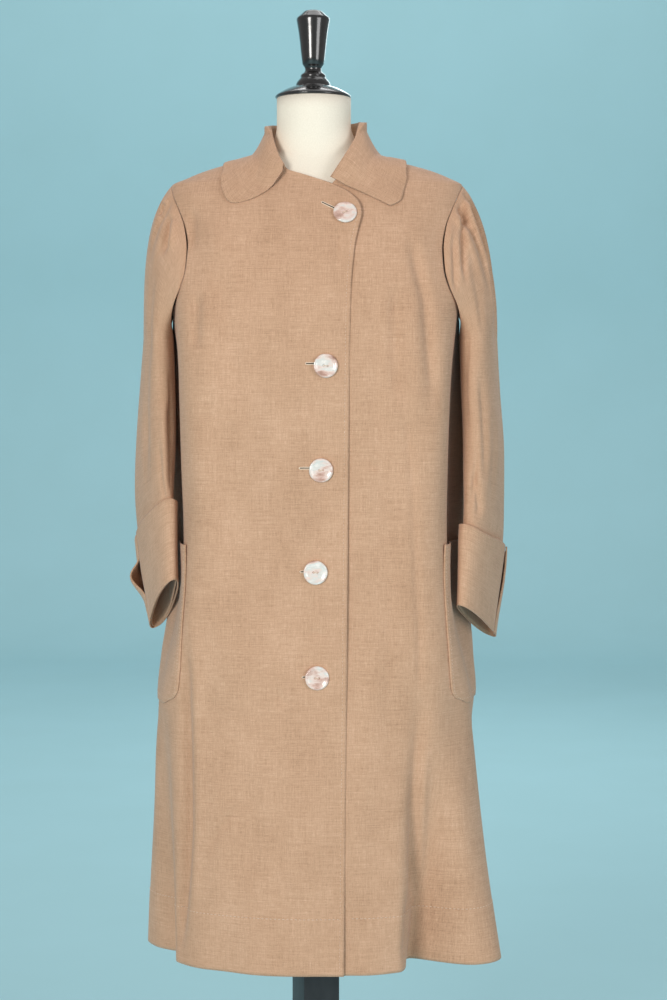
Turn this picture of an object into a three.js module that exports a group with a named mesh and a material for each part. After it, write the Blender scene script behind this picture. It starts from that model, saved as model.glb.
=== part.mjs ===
// A knee-length linen coat buttoned on a limbless dress form with a square wooden stand.
// Millimetres, +Z up. The coat faces -Y, so +X is the wearer's left.
// The origin is on the floor, on the post's axis.
import * as THREE from "three";

// Driving sizes of the coat.
const HEM_Z = 330;
const UNDERARM_Z = 1185;
const SHOULDER_TIP_Z = 1356;
const NECK_SEAM_Z = 1402;
const CLOTH = 1.6; // one layer of linen with its seam allowances
const DOUBLE_CLOTH = 2; // collar, cuffs and pockets are two layers
const SEAM_GAP = 0.4;
const BUTTON_DIAMETER = 31;
const BUTTON_THICKNESS = 4;
const CUFF_DEPTH = 112;

// Driving sizes of the form and its stand.
const FORM_BOTTOM_Z = 715;
const NECK_TOP_Z = 1474;
const FORM_SHOULDER_X = 170;
const POST_SIDE = 50;
const POST_TURN = THREE.MathUtils.degToRad(20);
const NECK_X = -2.5; // the neck and its cap lean a little to the wearer's right
const CAP_X = -3.5;
const BASE_SIDE = 320;
const BASE_HEIGHT = 26;

const LEFT = 1; // the wearer's left, at +X
const RIGHT = -1;

// The coat's body at each height: half width, depth in front of and behind the form's axis, how square the
// front and the back are (2 is an ellipse, more is squarer), and how far the middle lies to the wearer's left.
const BODY = [
  { z: 330, width: 210, front: 141, back: 160, squareFront: 2.05, squareBack: 2.2, middle: 0 },
  { z: 450, width: 211, front: 140, back: 156, squareFront: 2.2, squareBack: 2.3, middle: 0 },
  { z: 580, width: 212, front: 139, back: 151, squareFront: 2.4, squareBack: 2.3, middle: 0 },
  { z: 660, width: 209, front: 138, back: 147, squareFront: 2.7, squareBack: 2.3, middle: 0 },
  { z: 725, width: 194, front: 138, back: 145, squareFront: 3.8, squareBack: 2.4, middle: 0 },
  { z: 770, width: 182, front: 137, back: 142, squareFront: 5, squareBack: 2.5, middle: 0 },
  { z: 820, width: 175, front: 136, back: 138, squareFront: 6, squareBack: 2.5, middle: 0 },
  { z: 900, width: 173, front: 136, back: 133, squareFront: 6, squareBack: 2.6, middle: 0 },
  { z: 990, width: 175, front: 138, back: 129, squareFront: 6, squareBack: 2.6, middle: 0 },
  { z: 1100, width: 181, front: 141, back: 125, squareFront: 5, squareBack: 2.5, middle: 0 },
  { z: 1165, width: 188, front: 138, back: 122, squareFront: 4, squareBack: 2.4, middle: 0 },
  { z: 1210, width: 195, front: 131, back: 120, squareFront: 3.3, squareBack: 2.3, middle: 0 },
  { z: 1260, width: 198, front: 118, back: 115, squareFront: 2.8, squareBack: 2.3, middle: 0 },
  { z: 1300, width: 199, front: 103, back: 107, squareFront: 2.5, squareBack: 2.2, middle: 0 },
  { z: 1335, width: 199, front: 85, back: 94, squareFront: 2.3, squareBack: 2.1, middle: 0 },
  { z: 1356, width: 196, front: 72, back: 82, squareFront: 2.1, squareBack: 2, middle: 2 },
  { z: 1366, width: 177, front: 67, back: 77, squareFront: 2, squareBack: 2, middle: 4 },
  { z: 1375, width: 155, front: 63, back: 73, squareFront: 2, squareBack: 2, middle: 4 },
  { z: 1383, width: 128, front: 59, back: 70, squareFront: 2, squareBack: 2, middle: 3 },
  { z: 1390, width: 101, front: 56, back: 67, squareFront: 2, squareBack: 2, middle: 1 },
  { z: 1396, width: 81, front: 54, back: 64, squareFront: 2, squareBack: 2, middle: 0 },
  { z: 1402, width: 66, front: 52, back: 61, squareFront: 2, squareBack: 2, middle: 0 },
];

// The largest folds of the skirt. place is the share of the half girth from centre front to centre back,
// out is how far the fold stands out at the hem (less than 0 is a hollow), and top is where it dies away.
const SKIRT_FOLDS = [
  { side: LEFT, placeTop: 0.26, placeHem: 0.275, reach: 0.085, out: -52, top: 660, grow: 1.5 },
  { side: LEFT, placeTop: 0.37, placeHem: 0.41, reach: 0.13, out: 46, top: 660, grow: 1.3 },
  { side: LEFT, placeTop: 0.6, placeHem: 0.6, reach: 0.09, out: -22, top: 660, grow: 1.3 },
  { side: LEFT, placeTop: 0.74, placeHem: 0.76, reach: 0.1, out: 18, top: 660, grow: 1.2 },
  { side: LEFT, placeTop: 0.88, placeHem: 0.89, reach: 0.09, out: -22, top: 660, grow: 1.2 },
  { side: RIGHT, placeTop: 0.4, placeHem: 0.415, reach: 0.075, out: -24, top: 660, grow: 0.8 },
  { side: RIGHT, placeTop: 0.5, placeHem: 0.55, reach: 0.09, out: 22, top: 660, grow: 1.1 },
  { side: RIGHT, placeTop: 0.66, placeHem: 0.67, reach: 0.1, out: -22, top: 660, grow: 1.2 },
  { side: RIGHT, placeTop: 0.82, placeHem: 0.83, reach: 0.09, out: 16, top: 660, grow: 1.2 },
];

// Free edge and neckline of the right front, which lies on top: where it ends at each height.
const RIGHT_EDGE = [
  { z: 330, x: 37 },
  { z: 600, x: 40 },
  { z: 1070, x: 44 },
  { z: 1200, x: 46 },
  { z: 1265, x: 51 },
  { z: 1295, x: 57 },
  { z: 1312, x: 60.5 },
  { z: 1324, x: 58 },
  { z: 1334, x: 51 },
  { z: 1343, x: 40 },
  { z: 1349, x: 28 },
  { z: 1354, x: 16 },
  { z: 1360, x: -3 },
  { z: 1366, x: -22 },
  { z: 1372, x: -40 },
  { z: 1378, x: -45 },
  { z: 1390, x: -53 },
  { z: 1402, x: -59 },
];

// The left front runs under the right one, and its neckline is hidden by the collar.
const LEFT_EDGE = [
  { z: 330, x: -30 },
  { z: 1320, x: -28 },
  { z: 1340, x: -10 },
  { z: 1350, x: 14 },
  { z: 1360, x: 27 },
  { z: 1372, x: 38 },
  { z: 1378, x: 43 },
  { z: 1390, x: 52 },
  { z: 1402, x: 59 },
];

// Where the side seam runs, as an angle round from centre front.
const SIDE_SEAM = [
  { z: 330, angle: 104 },
  { z: 900, angle: 102 },
  { z: 1100, angle: 94 },
  { z: 1185, angle: 90 },
  { z: 1402, angle: 90 },
];

// Under the sleeves the sides run obliquely outwards from the front corners to the back: how much wider than
// its half width the body gets behind SPREAD_START_Y, over SPREAD_RUN, on the wearer's left and right.
const SIDE_SPREAD = [
  { z: 640, left: 0, right: 0 },
  { z: 725, left: 23, right: 19 },
  { z: 770, left: 33, right: 24 },
  { z: 820, left: 35, right: 27 },
  { z: 900, left: 36, right: 30 },
  { z: 990, left: 36, right: 30 },
  { z: 1100, left: 26, right: 19 },
  { z: 1150, left: 11, right: 8 },
  { z: 1180, left: 0, right: 0 },
];
const SPREAD_START_Y = -50;
const SPREAD_RUN = 110;

// The armhole's front and back edges, as distances from the centre plane.
const ARMHOLE = [
  { z: 1185, front: 192.5, back: 192.5 },
  { z: 1190, front: 189.5, back: 189.5 },
  { z: 1200, front: 182.5, back: 183 },
  { z: 1216, front: 175, back: 177 },
  { z: 1238, front: 169.5, back: 172.5 },
  { z: 1265, front: 168, back: 172 },
  { z: 1295, front: 172, back: 176 },
  { z: 1320, front: 181, back: 184 },
  { z: 1340, front: 190, back: 191 },
  { z: 1350, front: 194, back: 194 },
  { z: 1356, front: 196, back: 196 },
];

const PANEL_ROWS = [
  330, 400, 480, 570, 660, 692, 725, 748, 770, 795, 820, 880, 960, 1050, 1120, 1160, 1185, 1190, 1200, 1216, 1240,
  1270, 1300, 1325, 1345, 1356, 1366, 1378, 1390, 1402,
];

// Value of a table's column at a place between its rows, without overshoot.
function along(table, key, column, at) {
  const last = table.length - 1;
  if (at <= table[0][key]) return table[0][column];
  if (at >= table[last][key]) return table[last][column];
  let row = 0;
  while (table[row + 1][key] < at) row += 1;
  const slope = (k) => (table[k + 1][column] - table[k][column]) / (table[k + 1][key] - table[k][key]);
  const tangent = (k) => {
    if (k === 0) return slope(0);
    if (k === last) return slope(last - 1);
    const before = slope(k - 1);
    const after = slope(k);
    return before * after <= 0 ? 0 : (2 * before * after) / (before + after);
  };
  const span = table[row + 1][key] - table[row][key];
  const t = (at - table[row][key]) / span;
  return (
    table[row][column] * (1 + 2 * t) * (1 - t) ** 2 +
    table[row + 1][column] * t * t * (3 - 2 * t) +
    tangent(row) * span * t * (1 - t) ** 2 -
    tangent(row + 1) * span * t * t * (1 - t)
  );
}

const mix = (a, b, t) => a + (b - a) * t;
const clamp01 = (t) => Math.min(1, Math.max(0, t));
const ease = (t) => clamp01(t) ** 2 * (3 - 2 * clamp01(t));

// A smooth hump that is 1 at its middle and 0 past its reach.
function bump(distance, reach) {
  if (Math.abs(distance) >= reach) return 0;
  return 0.5 + 0.5 * Math.cos((Math.PI * distance) / reach);
}

// Half of the body's outline at one height, from centre front round the side to centre back.
const RING_STEPS = 180;
const rings = new Map();
function halfRing(z) {
  if (rings.has(z)) return rings.get(z);
  const width = along(BODY, "z", "width", z);
  const points = [];
  for (let k = 0; k <= RING_STEPS; k += 1) {
    const angle = (Math.PI * k) / RING_STEPS;
    const inFront = angle < Math.PI / 2;
    const depth = along(BODY, "z", inFront ? "front" : "back", z);
    const square = along(BODY, "z", inFront ? "squareFront" : "squareBack", z);
    const sideways = Math.abs(Math.sin(angle) / width) ** square;
    const forwards = Math.abs(Math.cos(angle) / depth) ** square;
    const radius = (sideways + forwards) ** (-1 / square);
    const point = { x: radius * Math.sin(angle), y: -radius * Math.cos(angle), arc: 0 };
    const last = points[k - 1];
    if (last) point.arc = last.arc + Math.hypot(point.x - last.x, point.y - last.y);
    points.push(point);
  }
  rings.set(z, points);
  return points;
}

const halfGirth = (z) => halfRing(z)[RING_STEPS].arc;

// Share of the half girth at which the outline is x away from the centre plane, in front or behind.
function shareAtX(x, z, behind = false) {
  const ring = halfRing(z);
  const middle = RING_STEPS / 2;
  const step = behind ? -1 : 1;
  let k = behind ? RING_STEPS : 0;
  while (k !== middle && ring[k + step].x < Math.abs(x)) k += step;
  if (k === middle) return Math.sign(x) * (ring[middle].arc / halfGirth(z));
  const t = clamp01((Math.abs(x) - ring[k].x) / (ring[k + step].x - ring[k].x));
  return (Math.sign(x) || 1) * (mix(ring[k].arc, ring[k + step].arc, t) / halfGirth(z));
}

function shareAtAngle(degrees, z) {
  const ring = halfRing(z);
  const place = (degrees / 180) * RING_STEPS;
  const k = Math.min(RING_STEPS - 1, Math.floor(place));
  return mix(ring[k].arc, ring[k + 1].arc, place - k) / halfGirth(z);
}

function foldAt(share, side, z) {
  let out = 0;
  for (const fold of SKIRT_FOLDS) {
    if (fold.side !== side || z >= fold.top) continue;
    const down = (fold.top - z) / (fold.top - HEM_Z);
    const place = mix(fold.placeTop, fold.placeHem, down);
    out += fold.out * down ** fold.grow * bump(share - place, fold.reach);
  }
  return out;
}

// How far the side stands out beyond the plain outline at one of its points.
function sideSpread(x, y, side, z) {
  const most = along(SIDE_SPREAD, "z", side === LEFT ? "left" : "right", z);
  return most * ease((y - SPREAD_START_Y) / SPREAD_RUN) * ease(x / along(BODY, "z", "width", z));
}

// A point of the coat's outer surface. share runs from 0 at centre front to 1 at centre back on the wearer's
// left, and below 0 on the right; from 1 to 2 it goes on from centre back to centre front.
function bodySurface(share, z) {
  const turned = share > 1 ? share - 2 : share;
  const side = turned < 0 ? RIGHT : LEFT;
  const ring = halfRing(z);
  const arc = Math.min(1, Math.abs(turned)) * halfGirth(z);
  let low = 0;
  let high = RING_STEPS;
  while (high - low > 1) {
    const half = (low + high) >> 1;
    if (ring[half].arc <= arc) low = half;
    else high = half;
  }
  const a = ring[low];
  const b = ring[low + 1];
  const t = (arc - a.arc) / (b.arc - a.arc);
  const before = ring[Math.max(0, low - 1)];
  const after = ring[Math.min(RING_STEPS, low + 2)];
  const run = Math.hypot(after.x - before.x, after.y - before.y);
  const out = foldAt(Math.abs(turned), side, z);
  const plainX = mix(a.x, b.x, t);
  const plainY = mix(a.y, b.y, t);
  const x = plainX + sideSpread(plainX, plainY, side, z) - (out * (before.y - after.y)) / run;
  const y = plainY + (out * (before.x - after.x)) / run;
  return new THREE.Vector3(along(BODY, "z", "middle", z) + side * x, y, z);
}

// A point above (or below) the coat's outer surface, measured square to it.
function bodyPoint(share, z, lift = 0) {
  const point = bodySurface(share, z);
  if (lift === 0) return point;
  return point.addScaledVector(bodyNormal(share, z), lift);
}

const NORMAL_STEP = 2;
const NORMAL_SHARE_STEP = 0.006;
function bodyNormal(share, z) {
  const low = Math.max(HEM_Z, z - NORMAL_STEP);
  const high = Math.min(NECK_SEAM_Z, z + NORMAL_STEP);
  const around = bodySurface(share + NORMAL_SHARE_STEP, z).sub(bodySurface(share - NORMAL_SHARE_STEP, z));
  const up = bodySurface(share, high).sub(bodySurface(share, low));
  return around.cross(up).normalize();
}

// How far a point lies outside the body without its folds, in millimetres, and the way out.
function outsideBody(point) {
  const level = (x, y, z) => {
    const depth = along(BODY, "z", y < 0 ? "front" : "back", z);
    const square = along(BODY, "z", y < 0 ? "squareFront" : "squareBack", z);
    const width = along(BODY, "z", "width", z);
    return (Math.abs(x / width) ** square + Math.abs(y / depth) ** square) ** (1 / square) - 1;
  };
  const step = 0.5;
  const { y, z } = point;
  const x = point.x - along(BODY, "z", "middle", z);
  const way = new THREE.Vector3(
    level(x + step, y, z) - level(x - step, y, z),
    level(x, y + step, z) - level(x, y - step, z),
    level(x, y, z + step) - level(x, y, z - step),
  ).divideScalar(2 * step);
  const steepness = way.length();
  return { distance: level(x, y, z) / steepness, way: way.divideScalar(steepness) };
}

function keepOutside(point, clearance) {
  for (let turn = 0; turn < 6; turn += 1) {
    const { distance, way } = outsideBody(point);
    if (distance >= clearance) return point;
    point.addScaledVector(way, (clearance - distance) * 0.9);
  }
  return point;
}

// Cloth walls: a grid of outer points and a grid of inner ones, closed along their edges.
function wallGeometry(outer, inner, closedRound = false) {
  const rows = outer.length;
  const columns = outer[0].length;
  const positions = [...outer, ...inner].flat().flatMap((point) => point.toArray());
  const at = (layer, row, column) => layer * rows * columns + row * columns + (column % columns);
  const triangles = [];
  const quad = (a, b, c, d) => triangles.push(a, b, c, a, c, d);
  const spans = closedRound ? columns : columns - 1;
  for (let i = 0; i < rows - 1; i += 1) {
    for (let j = 0; j < spans; j += 1) {
      quad(at(0, i, j), at(0, i, j + 1), at(0, i + 1, j + 1), at(0, i + 1, j));
      quad(at(1, i, j), at(1, i + 1, j), at(1, i + 1, j + 1), at(1, i, j + 1));
    }
    if (!closedRound) {
      quad(at(0, i, 0), at(0, i + 1, 0), at(1, i + 1, 0), at(1, i, 0));
      quad(at(0, i, spans), at(1, i, spans), at(1, i + 1, spans), at(0, i + 1, spans));
    }
  }
  for (let j = 0; j < spans; j += 1) {
    quad(at(0, 0, j), at(1, 0, j), at(1, 0, j + 1), at(0, 0, j + 1));
    quad(at(0, rows - 1, j), at(0, rows - 1, j + 1), at(1, rows - 1, j + 1), at(1, rows - 1, j));
  }
  return facingOut(positions, triangles);
}

function facingOut(positions, triangles) {
  let volume = 0;
  const corner = (k) => new THREE.Vector3().fromArray(positions, 3 * k);
  for (let k = 0; k < triangles.length; k += 3)
    volume += corner(triangles[k]).dot(corner(triangles[k + 1]).cross(corner(triangles[k + 2])));
  if (volume < 0)
    for (let k = 0; k < triangles.length; k += 3)
      [triangles[k + 1], triangles[k + 2]] = [triangles[k + 2], triangles[k + 1]];
  const geometry = new THREE.BufferGeometry();
  geometry.setAttribute("position", new THREE.Float32BufferAttribute(positions, 3));
  geometry.setIndex(triangles);
  geometry.computeVertexNormals();
  return geometry;
}

// The inner points of a free-standing wall, set back square to the grid. way is 1 or -1, the side they go to.
function setBack(outer, thickness, way, closedRound = false) {
  const columns = outer[0].length;
  return outer.map((row, i) =>
    row.map((point, j) => {
      const left = closedRound ? row[(j + columns - 1) % columns] : row[Math.max(0, j - 1)];
      const right = closedRound ? row[(j + 1) % columns] : row[Math.min(columns - 1, j + 1)];
      const above = outer[Math.max(0, i - 1)][j];
      const below = outer[Math.min(outer.length - 1, i + 1)][j];
      const normal = right.clone().sub(left).cross(below.clone().sub(above)).normalize();
      return point.clone().addScaledVector(normal, way * thickness);
    }),
  );
}

const materials = {
  linen: new THREE.MeshStandardMaterial({ color: 0xc1a07c, roughness: 0.92 }),
  pearl: new THREE.MeshStandardMaterial({ color: 0xe6ddd6, roughness: 0.25 }),
  jersey: new THREE.MeshStandardMaterial({ color: 0xeee4d2, roughness: 0.85 }),
  lacquer: new THREE.MeshStandardMaterial({ color: 0x0d0c0c, roughness: 0.3 }),
};

const coatOnForm = new THREE.Group();
function add(name, geometry, material) {
  const mesh = new THREE.Mesh(geometry, material);
  mesh.name = name;
  coatOnForm.add(mesh);
  return mesh;
}

// Where a panel ends at the side: at the armhole, and below it and on the shoulder at the seam.
function sideShare(z, behind) {
  if (z <= UNDERARM_Z || z >= SHOULDER_TIP_Z) return shareAtAngle(along(SIDE_SEAM, "z", "angle", z), z);
  return shareAtX(along(ARMHOLE, "z", behind ? "back" : "front", z), z, behind);
}

// A panel's share at each of its columns, between its two edges.
const panelShares = (panel, z) =>
  Array.from({ length: panel.columns + 1 }, (_, j) => mix(panel.from(z), panel.to(z), j / panel.columns));

function panelGeometry(panel) {
  const pointAt = (share, z, depth) => bodyPoint(share, z, panel.lift(share, z) - depth);
  const rowAt = (z, depth) => panelShares(panel, z).map((share) => pointAt(share, z, depth));
  const layer = (depth) => PANEL_ROWS.map((z) => rowAt(z, depth));
  return wallGeometry(layer(0), layer(CLOTH));
}

// A point above a panel's wall as it is meshed, so that what lies on the panel follows its facets.
function panelPoint(panel, column, z, lift) {
  let row = 0;
  while (row < PANEL_ROWS.length - 2 && PANEL_ROWS[row + 1] <= z) row += 1;
  const across = Math.min(panel.columns - 1, Math.floor(column));
  const up = (z - PANEL_ROWS[row]) / (PANEL_ROWS[row + 1] - PANEL_ROWS[row]);
  const [low, high] = [PANEL_ROWS[row], PANEL_ROWS[row + 1]].map((level) => {
    const shares = panelShares(panel, level);
    const [a, b] = [shares[across], shares[across + 1]].map((share) =>
      bodyPoint(share, level, panel.lift(share, level) + lift),
    );
    return a.lerp(b, column - across);
  });
  return low.lerp(high, up);
}

const seamGapShare = (z) => SEAM_GAP / 2 / halfGirth(z);
const rightEdgeX = (z) => along(RIGHT_EDGE, "z", "x", z);
const UNDERLAP_DROP = CLOTH + 0.6; // how far the left front sinks to pass under the right one
const UNDERLAP_NECK_DROP = 1.2; // how much further it sinks where the neckline curves
const UNDERLAP_RISE = 26; // the run beyond the right front's edge over which it comes up again
const UNDERLAP_MARGIN = 3; // how far it stays down beyond that edge
const UNDERLAP_TOP_Z = NECK_SEAM_Z - 40; // above this it lies clear of the right front
const NECK_CURVE_Z = 1250; // where the neckline starts to curve
const NECK_CURVE_RUN = 60;

function underlapLift(share, z) {
  const past = bodySurface(share, z).x - rightEdgeX(z);
  if (z > UNDERLAP_TOP_Z && past > 0) return 0;
  const drop = UNDERLAP_DROP + UNDERLAP_NECK_DROP * ease((z - NECK_CURVE_Z) / NECK_CURVE_RUN);
  return -drop * (1 - ease((past - UNDERLAP_MARGIN) / UNDERLAP_RISE));
}

const PANELS = {
  right_front: {
    columns: 15,
    from: (z) => shareAtX(rightEdgeX(z), z),
    to: (z) => -sideShare(z, false) + seamGapShare(z),
    lift: () => 0,
  },
  left_front: {
    columns: 14,
    from: (z) => shareAtX(along(LEFT_EDGE, "z", "x", z), z),
    to: (z) => sideShare(z, false) - seamGapShare(z),
    lift: underlapLift,
  },
  back: {
    columns: 20,
    from: (z) => sideShare(z, true) + seamGapShare(z),
    to: (z) => 2 - sideShare(z, true) - seamGapShare(z),
    lift: () => 0,
  },
};
for (const [name, panel] of Object.entries(PANELS)) add(name, panelGeometry(panel), materials.linen);

// Sleeves. Each section is an oval of half sizes across and along, squashed flat against the body and
// turned in plan, so that its front edge comes nearer the centre.
const SLEEVES = {
  [LEFT]: {
    name: "left",
    sections: [
      { z: 1150, x: 219.5, y: 2, across: 24.5, along: 75, turn: 8 },
      { z: 1080, x: 223, y: 0, across: 24, along: 75, turn: 11 },
      { z: 1000, x: 227, y: -4, across: 25, along: 73, turn: 12 },
      { z: 920, x: 226.5, y: -9, across: 22, along: 70, turn: 16 },
      { z: 850, x: 222.5, y: -14, across: 17, along: 67, turn: 20 },
      { z: 771, x: 216, y: -20, across: 14, along: 63, turn: 21 },
    ],
    endSlope: { x: -0.332, y: -0.311 },
    capOut: 0.24,
    flare: { out: 4, at: 0.7, reach: 0.7 },
  },
  [RIGHT]: {
    name: "right",
    sections: [
      { z: 1150, x: 212.5, y: 2, across: 20, along: 75, turn: 7 },
      { z: 1094, x: 214, y: 0, across: 21.5, along: 74, turn: 10 },
      { z: 1027, x: 215.5, y: -6, across: 22.5, along: 73, turn: 14 },
      { z: 960, x: 216.5, y: -13, across: 20.5, along: 70, turn: 18 },
      { z: 877, x: 212.5, y: -21, across: 14, along: 66, turn: 19 },
      { z: 795, x: 202.5, y: -32, across: 13, along: 60, turn: 14 },
    ],
    endSlope: { x: -0.45, y: -0.5 },
    capOut: 0.25,
    flare: { out: 15, at: 0.52, reach: 0.24 },
  },
};

// Pleats gathered into the sleeve heads. place is the share of the way round from the shoulder tip, forwards.
const PLEATS = [
  { side: LEFT, place: 0.985, reach: 0.022, out: -9, end: 1.35 },
  { side: LEFT, place: 0.955, reach: 0.03, out: 6, end: 1.3 },
  { side: LEFT, place: 0.035, reach: 0.02, out: -6, end: 0.75 },
  { side: LEFT, place: 0.062, reach: 0.024, out: 4, end: 0.9 },
  { side: LEFT, place: 0.095, reach: 0.02, out: -6, end: 0.85 },
  { side: LEFT, place: 0.125, reach: 0.024, out: 4, end: 0.9 },
  { side: LEFT, place: 0.92, reach: 0.02, out: -5, end: 0.8 },
  { side: RIGHT, place: 0.02, reach: 0.018, out: -5, end: 0.3 },
  { side: RIGHT, place: 0.05, reach: 0.02, out: 3, end: 0.5 },
  { side: RIGHT, place: 0.075, reach: 0.02, out: -5, end: 0.6 },
  { side: RIGHT, place: 0.11, reach: 0.024, out: 3, end: 0.7 },
  { side: RIGHT, place: 0.96, reach: 0.02, out: -5, end: 0.5 },
  { side: RIGHT, place: 0.92, reach: 0.02, out: -4, end: 0.6 },
];

const SLEEVE_SQUARE = 2.5;
const SLEEVE_PLACES = [
  0, 0.018, 0.035, 0.05, 0.065, 0.08, 0.095, 0.11, 0.13, 0.17, 0.22, 0.28, 0.34, 0.4, 0.45, 0.5, 0.55, 0.6,
  0.66, 0.72, 0.78, 0.84, 0.885, 0.92, 0.94, 0.96, 0.985,
];
const CAP_STEPS = [0, 0.12, 0.3, 0.52, 0.76, 1];
const CAP_END_Z = 1150;
const SLEEVE_ROWS = [1090, 1030, 965, 905, 850]; // heights of the rings between the cap and the end
const ARMHOLE_STEPS = 60;
const HEAD_GAP = 0.7; // how far the sleeve starts outside the armhole
const UNDERARM_GAP = 1.6; // how much further it starts at the bottom of the armhole

// The armhole of one side as a closed loop, from the shoulder tip forward, down, and up the back.
function armholeLoop(side) {
  const heightAt = (k) => mix(SHOULDER_TIP_Z, UNDERARM_Z, 0.5 - 0.5 * Math.cos((Math.PI * k) / ARMHOLE_STEPS));
  const edgeAt = (k, behind) => bodySurface(side * sideShare(heightAt(k), behind), heightAt(k));
  const loop = [];
  for (let k = 0; k <= ARMHOLE_STEPS; k += 1) loop.push(edgeAt(k, false));
  for (let k = ARMHOLE_STEPS - 1; k > 0; k -= 1) loop.push(edgeAt(k, true));
  loop.push(loop[0]);
  const arcs = [0];
  for (let k = 1; k < loop.length; k += 1) arcs.push(arcs[k - 1] + loop[k].distanceTo(loop[k - 1]));
  return (place) => {
    const arc = place * arcs[arcs.length - 1];
    let k = 0;
    while (k < loop.length - 2 && arcs[k + 1] < arc) k += 1;
    return loop[k].clone().lerp(loop[k + 1], (arc - arcs[k]) / (arcs[k + 1] - arcs[k]));
  };
}

// A point of a sleeve's section; grow widens it and hang is its nominal height. The points are spread as on
// an ellipse, so that the flat sides get their share. The section leans over to the end's slope further down.
const TILT_TOP_Z = CAP_END_Z - 40;
function sleeveSection(side, place, hang, grow = 0) {
  const { sections, endSlope } = SLEEVES[side];
  const table = [...sections].reverse();
  const value = (column) => along(table, "z", column, hang);
  const angle = 2 * Math.PI * place;
  const across = value("across") + grow;
  const length = value("along") + grow;
  const spread = Math.atan2(Math.sin(angle) * length, Math.cos(angle) * across);
  const sideways = Math.abs(Math.cos(spread) / across) ** SLEEVE_SQUARE;
  const lengthways = Math.abs(Math.sin(spread) / length) ** SLEEVE_SQUARE;
  const radius = (sideways + lengthways) ** (-1 / SLEEVE_SQUARE);
  const turn = THREE.MathUtils.degToRad(value("turn"));
  const u = radius * Math.cos(spread);
  const v = -radius * Math.sin(spread);
  const x = u * Math.cos(turn) + v * Math.sin(turn);
  const y = v * Math.cos(turn);
  const end = table[0].z;
  const tilt = ease((TILT_TOP_Z - hang) / (TILT_TOP_Z - end));
  return new THREE.Vector3(
    side * (value("x") + x),
    value("y") + y,
    hang + tilt * (endSlope.x * x + endSlope.y * y),
  );
}

function pleatAt(side, place, down) {
  let out = 0;
  for (const pleat of PLEATS) {
    if (pleat.side !== side || down > pleat.end) continue;
    const away = Math.abs(place - pleat.place);
    const strength = ease(down / 0.12) * (1 - ease(down / pleat.end));
    out += pleat.out * strength * bump(Math.min(away, 1 - away), pleat.reach);
  }
  return out;
}

// A point of the sleeve's cap, on a curve that leaves the armhole outwards and arrives hanging; t is 0 to 1.
function capPoint(side, loop, place, t) {
  const angle = 2 * Math.PI * place;
  const from = loop(place);
  from.x += side * (HEAD_GAP + UNDERARM_GAP * ease((1250 - from.z) / 55));
  const to = sleeveSection(side, place, CAP_END_Z);
  const length = from.distanceTo(to);
  const outwards = side * (0.2 + SLEEVES[side].capOut * (1 + 0.5 * Math.cos(angle)));
  const leave = new THREE.Vector3(outwards, -0.4 * Math.sin(angle), -0.6).multiplyScalar(length);
  const arrive = new THREE.Vector3(0, 0, -0.95 * length);
  return from
    .multiplyScalar((1 + 2 * t) * (1 - t) ** 2)
    .addScaledVector(to, t * t * (3 - 2 * t))
    .addScaledVector(leave, t * (1 - t) ** 2)
    .addScaledVector(arrive, -t * t * (1 - t));
}

// A ring of sleeve points with its pleats pressed in; down is 1 where the cap ends.
function pleatedRow(side, down, pointAt) {
  const row = SLEEVE_PLACES.map(pointAt);
  const middle = row.reduce((sum, point) => sum.add(point), new THREE.Vector3()).divideScalar(row.length);
  return row.map((point, k) => {
    const out = new THREE.Vector3(point.x - middle.x, (point.y - middle.y) * 0.4, 0).normalize();
    return point.addScaledVector(out, pleatAt(side, SLEEVE_PLACES[k], down));
  });
}

function sleeveRows(side) {
  const { sections } = SLEEVES[side];
  const loop = armholeLoop(side);
  const end = sections[sections.length - 1].z;
  const cap = CAP_STEPS.map((down) => pleatedRow(side, down, (place) => capPoint(side, loop, place, down)));
  const tube = [...SLEEVE_ROWS, end + 1].map((hang) => {
    const down = 1 + (CAP_END_Z - hang) / 300;
    return pleatedRow(side, down, (place) => sleeveSection(side, place, hang));
  });
  return [...cap, ...tube];
}

for (const side of [RIGHT, LEFT]) {
  const outer = sleeveRows(side);
  const inner = setBack(outer, CLOTH, side, true);
  add(`${SLEEVES[side].name}_sleeve`, wallGeometry(outer, inner, true), materials.linen);
}

// Turned-back cuffs: an open band round the sleeve's end, slit behind its outer side.
const CUFF_SLIT = 0.93;
const CUFF_COLUMNS = 22;
const CUFF_ROWS = 5;
const CUFF_GAP = 1; // between the sleeve and the cuff at its fold
const CUFF_SPREAD = 2.6; // how much further out the cuff's top edge stands
for (const side of [RIGHT, LEFT]) {
  const { sections, flare, name } = SLEEVES[side];
  const end = sections[sections.length - 1].z;
  const outer = [];
  for (let i = 0; i <= CUFF_ROWS; i += 1) {
    const up = i / CUFF_ROWS;
    const row = [];
    for (let j = 0; j <= CUFF_COLUMNS; j += 1) {
      const round = 0.004 + (0.992 * j) / CUFF_COLUMNS;
      const place = (CUFF_SLIT + round) % 1;
      const grow = CUFF_GAP + DOUBLE_CLOTH + CUFF_SPREAD * ease(up);
      const point = sleeveSection(side, place, end + CUFF_DEPTH * up, grow);
      const nearSlit = ease((round - 0.88) / 0.12);
      point.x += side * flare.out * bump(up - flare.at, flare.reach) * nearSlit;
      row.push(point);
    }
    outer.push(row);
  }
  add(`${name}_cuff`, wallGeometry(outer, setBack(outer, DOUBLE_CLOTH, -side)), materials.linen);
}

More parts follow.
